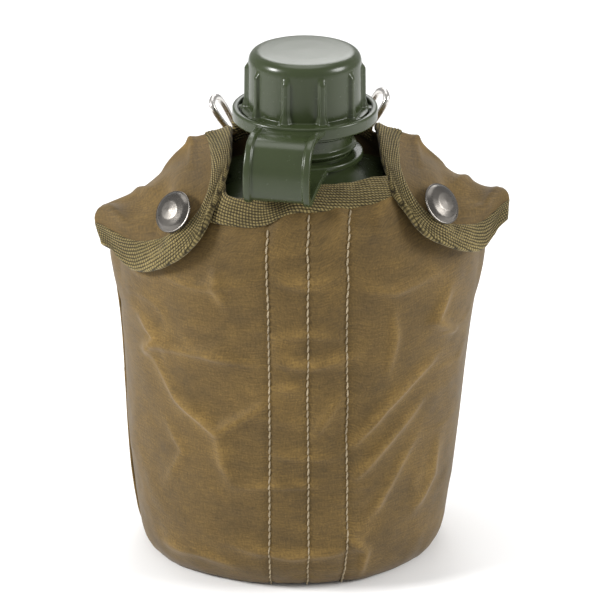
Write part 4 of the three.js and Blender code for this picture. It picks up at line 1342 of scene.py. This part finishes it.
def stitches(name, path, normals, stitch, thick, lean_angle=0.10):
    """A row of stitches: short twisted threads that dip into the cloth at both ends."""
    run = np.concatenate([[0], np.cumsum(np.linalg.norm(np.diff(path, axis=0), axis=1))])
    count = max(1, int(run[-1] / stitch))
    around, rings = 8, 7
    angle = np.arange(around) * 2 * math.pi / around
    points, faces, uv = [], [], []
    for k in range(count):
        places = (k + np.linspace(0.03, 0.97, rings)) * stitch
        centre = np.stack([np.interp(places, run, path[:, a]) for a in range(3)], 1)
        up = np.stack([np.interp(places, run, normals[:, a]) for a in range(3)], 1)
        up /= np.linalg.norm(up, axis=1, keepdims=True)
        ahead = centre[-1] - centre[0]
        ahead /= np.linalg.norm(ahead)
        side = np.cross(ahead, up)
        shape = np.sin(np.linspace(0.16, math.pi - 0.16, rings))
        drift = np.linspace(-1, 1, rings) * lean_angle * stitch / 2
        start = len(points) * around
        for i in range(rings):
            middle = centre[i] + up[i] * (thick * (shape[i] * 0.75 - 0.45)) + side[i] * drift[i]
            radius = thick / 2 * (0.45 + 0.55 * shape[i])
            ring = np.outer(np.cos(angle), side[i]) + np.outer(np.sin(angle), up[i])
            points.append(middle + radius * ring)
            uv.append(np.stack([np.full(around, places[i]), angle * 0.4], 1))
        faces += [[start + v for v in q] for q in grid_quads(rings, around, False, True).tolist()]
        faces.append([start + a for a in range(around)][::-1])
        faces.append([start + (rings - 1) * around + a for a in range(around)])
    made = make_mesh(name, np.concatenate(points), faces, np.concatenate(uv))
    face_out(made)
    return made


def build_stitch_rows():
    s = sizes("canteen_cover")
    for name, offset in STITCH_OFFSETS.items():
        top_turn = FRONT + offset / 45
        top = level_below(np.array(top_turn), front_edge(np.array(top_turn)), s["tape_width"] - 1)
        levels = levels_for(np.linspace(0, 1, 260), STITCH_LOW - 0.6, float(top))
        wander = 0.25 * lumps(np.stack([levels * 0, levels * 0, levels * 18], -1), 9, 83 + int(offset))
        turn = stitch_turn(offset, levels) + wander / section_at(levels)[1]
        middle, _ = front_middle(turn, levels)
        normal = outward(turn, levels)
        path = middle + normal * (s["canvas"] / 2 + 0.28)
        made = stitches(f"stitches_{name}", path, normal, s["stitch"], s["thread"])
        dress(made, sewing_thread(), ROOT, [f"stitch_row_{name}"])


# ---------------------------------------------------------------- flaps
# Control nets in millimetres: rows from behind the fold over it to the free edge, columns from the neck out.
FLAP_NETS = {
    "right": [
        [(28.5, 22.5, 159), (39.5, 21.5, 151.5), (51, 19.5, 144), (62.5, 16.5, 136.5), (73, 13.5, 130)],
        [(28, 20, 168), (39.1, 17.9, 160.6), (50.3, 15.8, 153.3), (61.4, 13.6, 145.9), (72.5, 11.5, 138.5)],
        [(27.5, 9, 171), (38, 6.5, 165.5), (50, 4, 158.5), (62, 1, 151.8), (75.8, 4, 146.8)],
        [
            (28.5, -9.5, 165.5),
            (37, -18.5, 160.5),
            (50, -22.5, 155),
            (63.5, -12.5, 146.5),
            (78.5, -0.5, 145.5),
        ],
        [(31.5, -27, 160.8), (41.5, -38, 147.8), (53, -36, 139.5), (66, -24.5, 133.5), (75.2, -8.5, 138.4)],
    ],
    "left": [
        [(-28.5, 22.5, 159), (-39.5, 21.5, 151.5), (-51, 19.5, 144), (-62.5, 16.5, 136.5), (-73, 13.5, 130)],
        [
            (-28, 20, 168),
            (-39.1, 17.9, 160.6),
            (-50.3, 15.8, 153.3),
            (-61.4, 13.6, 145.9),
            (-72.5, 11.5, 138.5),
        ],
        [(-27.5, 9, 171), (-38.5, 6.5, 166), (-50, 4, 159.3), (-62, 0.5, 148.5), (-77, 5, 142.5)],
        [(-28.5, -9.5, 166.8), (-37, -18.5, 160.5), (-50, -22.5, 154), (-63, -14.5, 143), (-80.5, 1, 138.5)],
        [(-32.5, -26.5, 159.8), (-41.8, -39, 144.8), (-53.5, -36, 133.5), (-66, -23, 127), (-76, -7.5, 131)],
    ],
}
NET_ROWS_OVER = 3
FLAP_EDGE = [
    (0, -0.16),
    (0, 0.1),
    (0, 0.45),
    (0, 0.8),
    (0.03, 0.96),
    (0.14, 1),
    (0.5, 1),
    (0.8, 1),
    (1, 0.97),
]
FLAP_INNER = [
    (0.22, -0.16),
    (0.22, 0.1),
    (0.21, 0.4),
    (0.23, 0.66),
    (0.28, 0.79),
    (0.40, 0.84),
    (0.6, 0.82),
    (0.82, 0.79),
    (1, 0.71),
]
SNAP_AT = (0.475, 0.745)


def flap_point(name, across, down):
    """A point of the flap: across from neck (0) to side (1), down from the fold (0) to the edge (1)."""
    net = np.asarray(FLAP_NETS[name], float)
    rows = [through(row, across) for row in net]
    stack = np.stack(rows, 0)
    place = (np.asarray(down, float) * NET_ROWS_OVER + 1) / (len(net) - 1)
    last = len(net) - 1
    padded = np.concatenate([[2 * stack[0] - stack[1]], stack, [2 * stack[-1] - stack[-2]]])
    at = place * last
    i = np.clip(np.floor(at).astype(int), 0, last - 1)
    f = (at - i)[..., None]
    grid = np.indices(at.shape)
    p0, p1, p2, p3 = (padded[(i + k, *grid)] for k in range(4))
    cubic = (3 * p1 - p0 - 3 * p2 + p3) * f**3
    return (2 * p1 + (p2 - p0) * f + (2 * p0 - 5 * p1 + 4 * p2 - p3) * f**2 + cubic) / 2


def flap_normal(name, across, down, step=0.01):
    a = flap_point(name, across + step, down) - flap_point(name, across - step, down)
    b = flap_point(name, across, down + step) - flap_point(name, across, down - step)
    normal = np.cross(a, b)
    normal /= np.linalg.norm(normal, axis=-1, keepdims=True)
    probe = flap_point(name, across, down) - [0, 10, 110]
    flip = np.sign(np.einsum("...k,...k->...", normal, probe))
    return normal * np.where(flip == 0, 1, flip)[..., None]


FLAP_REACH = (55, 48)
FLAP_FOLDS = [
    [(31, 29), (39, 18), (45, 7)],
    [(21, 26), (17, 16), (19, 5)],
    [(35, 36), (45, 33), (53, 20)],
    [(6, 12), (20, 15), (33, 11)],
]


def flap_relief(name, across, down):
    """Gutter between the snap and the outer ear, folds that stop at the snap, and small lumps."""
    seed = 101 if name == "right" else 131
    ends = smoothstep(down, 0.40, 0.6) * smoothstep(down, 0.95, 0.78)
    gutter = -3.0 * bell(across - 0.66 + 0.10 * down, 0.075) * ends
    bulge = 1.1 * bell(across - 0.44, 0.10) * bell(down - 0.55, 0.22)
    x, z = across * FLAP_REACH[0], down * FLAP_REACH[1]
    points = np.stack([x, z, np.zeros_like(across)], -1)
    folds = sum(crease(x, z, line, 2.4, 2.6) for line in FLAP_FOLDS)
    by_snap = bell(np.hypot(x - SNAP_AT[0] * FLAP_REACH[0], z - SNAP_AT[1] * FLAP_REACH[1]), 8)
    small = 0.6 * lumps(points, 12, seed) + 0.2 * lumps(points, 5, seed + 1) + folds * (1 - by_snap)
    over = smoothstep(down, -0.02, 0.2)
    return (gutter + bulge + small) * over


def flap_middle(name, across, down):
    base = flap_point(name, across, down)
    return base + flap_normal(name, across, down) * flap_relief(name, across, down)[..., None]


def between(first, second, u, w):
    """Points over two matching (across, down) paths: u along both, w from the first to the second."""
    a, b = through(first, u), through(second, u)
    a, b = a[None, :, :], b[None, :, :]
    return a + (b - a) * w[:, None, None]


def fold_blend(made):
    """Bakes the piece's transform into its mesh."""
    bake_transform(made)


def build_flap(name):
    s = sizes("canteen_cover")
    fold = [(0.20 + 0.80 * t, -0.22) for t in np.linspace(0, 1, len(FLAP_INNER))]
    inner = [(a - 0.02, d + 0.02) for a, d in FLAP_INNER]
    inner[0], inner[-1] = (0.19, -0.2), (1, 0.72)
    u, w = shares(96, 0.006), shares(84, 0.008)
    place = between(inner, fold, u, w)
    middle = flap_middle(name, place[..., 0], place[..., 1])
    normal = flap_normal(name, place[..., 0], place[..., 1])
    behind = smoothstep(place[..., 1], 0.05, -0.1)
    middle = middle + normal * (0.7 * behind)[..., None]
    uv = np.stack([place[..., 0] * 58, place[..., 1] * 50], -1)
    # Lighter band over the flap's crown: worn wax plus a painted highlight.
    wear_and_highlight = 0.5 * bell(place[..., 1] - 0.3, 0.12) * (0.4 + 0.6 * np.clip(lumps(middle, 9, 151), 0, 1))
    made = slab(f"{name}_flap_canvas", middle, s["canvas"], masks={"wear_and_highlight": wear_and_highlight}, uv=uv)
    dress(made, canvas(), None, [f"{name}_flap"])
    fold_blend(made)


def build_flap_tape(name):
    s = sizes("canteen_cover")
    u, w = shares(300, 0.004), shares(40, 0.10)
    place = between(FLAP_EDGE, FLAP_INNER, u, w)
    middle = flap_middle(name, place[..., 0], place[..., 1])
    normal = flap_normal(name, place[..., 0], place[..., 1])
    along = run_lengths(middle, 1)
    wave = 0.45 * lumps(np.stack([along, along * 0, along * 0], -1), 9, 171)
    outer = (1 - np.broadcast_to(w[:, None], along.shape)) ** 1.5
    curl = 2.2 * smoothstep(u, 0.93, 1.0)[None, :] * outer
    behind = 0.8 * smoothstep(place[..., 1], 0.05, -0.1)
    middle = middle + normal * (wave * outer + curl + behind)[..., None]
    made = tape_slab(f"{name}_flap_tape", middle, s["tape_thick"])
    dress(made, tape(), None, [f"{name}_flap_binding"])
    fold_blend(made)


# ---------------------------------------------------------------- snaps and belt hook
def set_on(made, foot, out):
    """Moves a piece built about +Z so that it stands on foot (in millimetres) and faces out."""
    turn = Vector((0, 0, 1)).rotation_difference(Vector(out))
    made.data.transform(Matrix.Translation(Vector(foot) * MM) @ turn.to_matrix().to_4x4())


CAP_TILT = {"right": Vector((0.60, -0.55, 0.58)), "left": Vector((-0.62, -0.57, 0.54))}


def snap_frame(name):
    across, down = (np.array(v) for v in SNAP_AT)
    foot = flap_middle(name, across, down)
    return foot, CAP_TILT[name].normalized()


def stud_frame(name):
    """The spot on the front panel that lies nearest to the axis of the snap's cap."""
    low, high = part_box(f"{name}_snap_stud")
    centre = np.array((low + high) / 2) / MM
    turn, level = np.meshgrid(np.linspace(-1.4, -0.3, 120), np.linspace(7.4, 9.6, 90))
    side = 1 if name == "right" else -1
    panel = lifted(turn, level, CANVAS_OUT)
    away = np.linalg.norm(panel - centre * [side, 1, 1], axis=-1)
    spot = np.unravel_index(away.argmin(), away.shape)
    normal = outward(turn[spot], level[spot])
    return panel[spot] * [side, 1, 1], normal * [side, 1, 1]


def build_snap(name):
    radius = sizes("canteen_metal")["snap_radius"]
    foot, out = snap_frame(name)
    cap = turned(
        f"{name}_snap_dome",
        rounded(
            [
                (0, 3.6, 0),
                (radius * 0.45, 3.35, 3),
                (radius * 0.8, 2.35, 3),
                (radius - 0.55, 1.2, 0.8),
                (radius - 0.15, 1.15, 0.25),
                (radius, 0.75, 0.3),
                (radius - 0.5, 0.1, 0.3),
                (0, 0.5, 0),
            ],
            steps=6,
        ),
        72,
        0.5,
    )
    set_on(cap, foot + np.array(out) * 1.2, out)
    dress(cap, nickel(), f"{name}_flap_body", [f"{name}_snap_cap"])
    socket = turned(
        f"{name}_snap_socket_ring",
        rounded([(3.2, -2.6, 0.3), (4.9, -2.6, 0.5), (5.1, -1.4, 0.3), (3.2, -1.4, 0.3)]),
        48,
        0.5,
    )
    set_on(socket, foot, flap_normal(name, np.array(SNAP_AT[0]), np.array(SNAP_AT[1])))
    dress(socket, nickel(), f"{name}_flap_body", [f"{name}_snap_socket"])
    panel, normal = stud_frame(name)
    stud = turned(
        f"{name}_stud",
        rounded([(0, 0.3, 0), (4, 0.3, 0.2), (4, 0.75, 0.2), (2.1, 0.95, 0.2), (2.2, 1.8, 0.4), (0, 2.2, 0)]),
        40,
        0.4,
    )
    set_on(stud, panel, normal)
    dress(stud, nickel(), ROOT, [f"{name}_snap_stud"])
    rivet = turned(
        f"{name}_rivet",
        rounded(
            [
                (0, -2.6, 0),
                (3.2, -2.6, 0.3),
                (3.2, -2.0, 0.2),
                (1.5, -2.0, 0.1),
                (1.5, 0.2, 0.1),
                (0, 0.2, 0),
            ]
        ),
        40,
        0.4,
    )
    set_on(rivet, panel, normal)
    dress(rivet, nickel(), ROOT, [f"{name}_stud_rivet"])


BAR_Y, BAR_Z = 38.3, 147.0
HOOK_ROLL = math.radians(-1.5)
HOOK_RUN = [
    (0, 0, 0),
    (8, 0, 0),
    (15.5, 0, 0),
    (18.5, 0, 0.8),
    (20.5, -0.3, 3.5),
    (23.5, -1.7, 8.5),
    (26.5, -3.2, 13.5),
    (29.3, -4.5, 18.0),
    (32, -5.6, 22.5),
    (34, -5.2, 26.4),
    (33.6, -2.4, 28.6),
    (31.8, 1.6, 27.8),
    (29.8, 4.6, 24),
    (27.6, 5.6, 19.2),
    (25, 5.6, 13.5),
]


def build_hook():
    right = np.array(HOOK_RUN, float)
    left = (right * [-1, 1, 1])[:0:-1]
    line = run_along(np.concatenate([left, right]), np.linspace(0, 1, 260))
    c, s = math.cos(HOOK_ROLL), math.sin(HOOK_ROLL)
    x, z = line[:, 0] * c + line[:, 2] * s, -line[:, 0] * s + line[:, 2] * c
    line = np.stack([x, line[:, 1] + BAR_Y, z + BAR_Z], 1)
    made = tube("hook_wire", line, sizes("canteen_metal")["wire_radius"], 24)
    dress(made, bright_wire(), "hook", ["belt_hook"])


HANGER = {"half": 13.0, "low": 92.0, "front": 35.5, "thick": 2.2, "radius": 3.0}


def build_hanger():
    """Webbing sewn flat to the back, its top turned over into a sleeve round the hook's bar."""
    half, low, front, thick = HANGER["half"], HANGER["low"], HANGER["front"], HANGER["thick"]
    radius = HANGER["radius"]
    outer_y = front + thick / 2
    path = [(outer_y, z) for z in np.linspace(low, BAR_Z - 4, 60)]
    for angle in np.linspace(-0.9, 1.5 * math.pi - 1.0, 40):
        path.append((BAR_Y + radius * math.cos(angle), BAR_Z + radius * math.sin(angle)))
    path.append((front - 0.2, BAR_Z - 4.5))
    path = run_along(np.array(path), np.linspace(0, 1, 150))
    across = shares(28, 0.03)
    middle = np.zeros((len(path), len(across), 3))
    middle[..., 0] = (half - 0.2 * np.sin(path[:, 1] * 0.7))[:, None] * (2 * across - 1)[None, :]
    middle[..., 1] = path[:, 0][:, None] + 0.25 * np.sin(path[:, 1] * 0.35)[:, None]
    middle[..., 2] = path[:, 1][:, None]
    thin = min(thick, 1.5)
    cords = 0.18 * (np.abs(np.sin(math.pi * run_lengths(middle, 1) / 1.9)) - 0.5)
    uv = np.stack([run_lengths(middle, 0), run_lengths(middle, 1)], -1)
    made = slab("hanger_webbing", middle, thin, relief=cords, under=cords, uv=uv)
    dress(made, webbing(), ROOT, ["hook_hanger"])
    build_hanger_stitches(half, low, outer_y + thin / 2)


def build_hanger_stitches(half, low, y):
    """A sewn box with a cross that holds the webbing to the back panel."""
    s = sizes("canteen_cover")
    left, right, bottom, top = -half + 2, half - 2, low + 2.5, low + 20
    corners = [(left, bottom), (right, bottom), (right, top), (left, top), (left, bottom), (right, top)]
    lines = list(zip(corners[:-1], corners[1:])) + [((left, top), (right, bottom))]
    for k, (a, b) in enumerate(lines):
        t = np.linspace(0, 1, 60)[:, None]
        flat = np.array(a) + (np.array(b) - np.array(a)) * t
        path = np.stack([flat[:, 0], y + 0.15 + 0.25 * np.sin(flat[:, 1] * 0.35), flat[:, 1]], 1)
        normal = np.tile([0.0, 1.0, 0.0], (60, 1))
        made = stitches(f"hanger_stitch_{k + 1}", path, normal, s["stitch"] * 0.8, s["thread"] * 0.8)
        dress(made, sewing_thread(), ROOT)


# ---------------------------------------------------------------- stage
# Floor and the wall that it sweeps up into, in millimetres.
FLOOR_HALF, SWEEP_FROM, SWEEP, WALL_TOP = 3000.0, 2600.0, 500.0, 2500.0
LOOK_AT = (0, 0, 0.1)
CAMERA_SHIFT = (-0.00833, 0.0155)
SKY_LIGHT = 0.52
# Lights: place and width in metres, and share of the key light's power.
LIGHTS = [
    ("key", (-0.85, -0.25, 0.6), 0.3, 1.15),
    ("fill", (0.95, -0.3, 0.6), 0.5, 1.0),
    ("top", (0.0, 0.2, 1.1), 0.7, 0.3),
    ("rim", (0.1, 0.9, 0.8), 0.6, 0.4),
]


def build_stage():
    stage = bpy.context.scene.canteen_stage
    floor = bpy.data.materials.new("Pale floor")
    floor.use_nodes = True
    shader = floor.node_tree.nodes["Principled BSDF"]
    shader.inputs["Base Color"].default_value = rgba(stage.floor)
    shader.inputs["Roughness"].default_value = 0.9
    shader.inputs["Specular IOR Level"].default_value = 0.1
    sweep = [(-FLOOR_HALF, 0.0), (SWEEP_FROM, 0.0)]
    for angle in np.linspace(0, math.pi / 2, 13):
        sweep.append((SWEEP_FROM + SWEEP * math.sin(angle), SWEEP - SWEEP * math.cos(angle)))
    sweep.append((SWEEP_FROM + SWEEP, WALL_TOP))
    points = [(x, y, z) for y, z in sweep for x in (-FLOOR_HALF, FLOOR_HALF)]
    backdrop = make_mesh("backdrop", np.array(points), grid_quads(len(sweep), 2))
    backdrop.data.materials.append(floor)

    camera = bpy.data.objects.new("camera", bpy.data.cameras.new("camera"))
    bpy.context.scene.collection.objects.link(camera)
    e, a, d = stage.elevation, stage.turn, stage.distance
    target = Vector(LOOK_AT)
    back = Vector((-math.cos(e) * math.sin(a), -math.cos(e) * math.cos(a), math.sin(e)))
    camera.location = target + back * d
    camera.rotation_mode = "QUATERNION"
    camera.rotation_quaternion = (-back).to_track_quat("-Z", "Y")
    camera.data.lens = stage.lens
    camera.data.sensor_width = 36
    camera.data.shift_x, camera.data.shift_y = CAMERA_SHIFT
    camera.data.clip_end = 20
    bpy.context.scene.camera = camera

    for name, place, size, share in LIGHTS:
        light = bpy.data.lights.new(name, "AREA")
        light.shape = "DISK"
        light.size = size
        light.energy = stage.key * share
        lamp = bpy.data.objects.new(name, light)
        lamp.location = place
        lamp.rotation_mode = "QUATERNION"
        lamp.rotation_quaternion = (Vector(place) - target).to_track_quat("Z", "Y")
        bpy.context.scene.collection.objects.link(lamp)
    world = bpy.data.worlds.new("studio")
    world.use_nodes = True
    world.node_tree.nodes["Background"].inputs["Color"].default_value = (1, 1, 1, 1)
    world.node_tree.nodes["Background"].inputs["Strength"].default_value = SKY_LIGHT
    bpy.context.scene.world = world
    bpy.context.scene.view_settings.view_transform = "Standard"


# ---------------------------------------------------------------- operators and panel
class CANTEEN_OT_bottle(bpy.types.Operator):
    """Build the blown bottle with its threaded neck"""

    bl_idname = "canteen.bottle"
    bl_label = "Bottle"

    def execute(self, context):
        build_bottle()
        return {"FINISHED"}


class CANTEEN_OT_cap(bpy.types.Operator):
    """Build the ribbed screw cap and finish its seal"""

    bl_idname = "canteen.cap"
    bl_label = "Cap and seal"

    def execute(self, context):
        build_cap()
        build_seal()
        return {"FINISHED"}


class CANTEEN_OT_strap(bpy.types.Operator):
    """Build the retaining strap: two rings and the bowed band between them"""

    bl_idname = "canteen.strap"
    bl_label = "Retaining strap"

    def execute(self, context):
        build_rings()
        build_band()
        return {"FINISHED"}


class CANTEEN_OT_lining(bpy.types.Operator):
    """Build the felt lining"""

    bl_idname = "canteen.lining"
    bl_label = "Felt lining"

    def execute(self, context):
        build_lining()
        return {"FINISHED"}


class CANTEEN_OT_panels(bpy.types.Operator):
    """Build the canvas panels, the base and the side seams"""

    bl_idname = "canteen.panels"
    bl_label = "Canvas panels"

    def execute(self, context):
        build_front()
        build_back()
        build_base()
        return {"FINISHED"}


class CANTEEN_OT_binding(bpy.types.Operator):
    """Build the tape along the mouth of the cover"""

    bl_idname = "canteen.binding"
    bl_label = "Binding tape"

    def execute(self, context):
        build_front_binding()
        build_collar_binding()
        return {"FINISHED"}


class CANTEEN_OT_stitching(bpy.types.Operator):
    """Sew the three rows of stitches down the front"""

    bl_idname = "canteen.stitching"
    bl_label = "Front stitching"

    def execute(self, context):
        build_stitch_rows()
        return {"FINISHED"}


class CANTEEN_OT_flaps(bpy.types.Operator):
    """Build both shoulder flaps with their tape"""

    bl_idname = "canteen.flaps"
    bl_label = "Flaps"

    def execute(self, context):
        for name in FLAP_NETS:
            build_flap(name)
            build_flap_tape(name)
        return {"FINISHED"}


class CANTEEN_OT_snaps(bpy.types.Operator):
    """Set the snap fasteners"""

    bl_idname = "canteen.snaps"
    bl_label = "Snaps"

    def execute(self, context):
        for name in FLAP_NETS:
            build_snap(name)
        return {"FINISHED"}


class CANTEEN_OT_hook(bpy.types.Operator):
    """Bend the belt hook and sew its webbing hanger"""

    bl_idname = "canteen.hook"
    bl_label = "Belt hook and hanger"

    def execute(self, context):
        build_hook()
        build_hanger()
        return {"FINISHED"}


class CANTEEN_OT_stage(bpy.types.Operator):
    """Set up the floor, lights and camera"""

    bl_idname = "canteen.stage"
    bl_label = "Stage"

    def execute(self, context):
        build_stage()
        return {"FINISHED"}


OPERATORS = [
    CANTEEN_OT_bottle,
    CANTEEN_OT_cap,
    CANTEEN_OT_strap,
    CANTEEN_OT_lining,
    CANTEEN_OT_panels,
    CANTEEN_OT_binding,
    CANTEEN_OT_stitching,
    CANTEEN_OT_flaps,
    CANTEEN_OT_snaps,
    CANTEEN_OT_hook,
    CANTEEN_OT_stage,
]


class CANTEEN_PT_parts(bpy.types.Panel):
    """Sizes, colours and the pieces in the order they are built"""

    bl_idname = "CANTEEN_PT_parts"
    bl_label = "Canteen"
    bl_space_type = "VIEW_3D"
    bl_region_type = "UI"
    bl_category = "Canteen"

    def draw(self, context):
        for group, kind in GROUPS.items():
            box = self.layout.box()
            box.label(text=group.replace("_", " "))
            for name in kind.__annotations__:
                box.prop(getattr(context.scene, group), name)
        for operator in OPERATORS:
            self.layout.operator(operator.bl_idname)


def register():
    for kind in (*GROUPS.values(), *OPERATORS, CANTEEN_PT_parts):
        bpy.utils.register_class(kind)
    for name, kind in GROUPS.items():
        setattr(bpy.types.Scene, name, PointerProperty(type=kind))


def unregister():
    for name in GROUPS:
        delattr(bpy.types.Scene, name)
    for kind in reversed((*GROUPS.values(), *OPERATORS, CANTEEN_PT_parts)):
        bpy.utils.unregister_class(kind)


def main():
    register()
    for operator in OPERATORS:
        getattr(bpy.ops.canteen, operator.bl_idname.split(".")[1])()


if __name__ == "__main__":
    main()
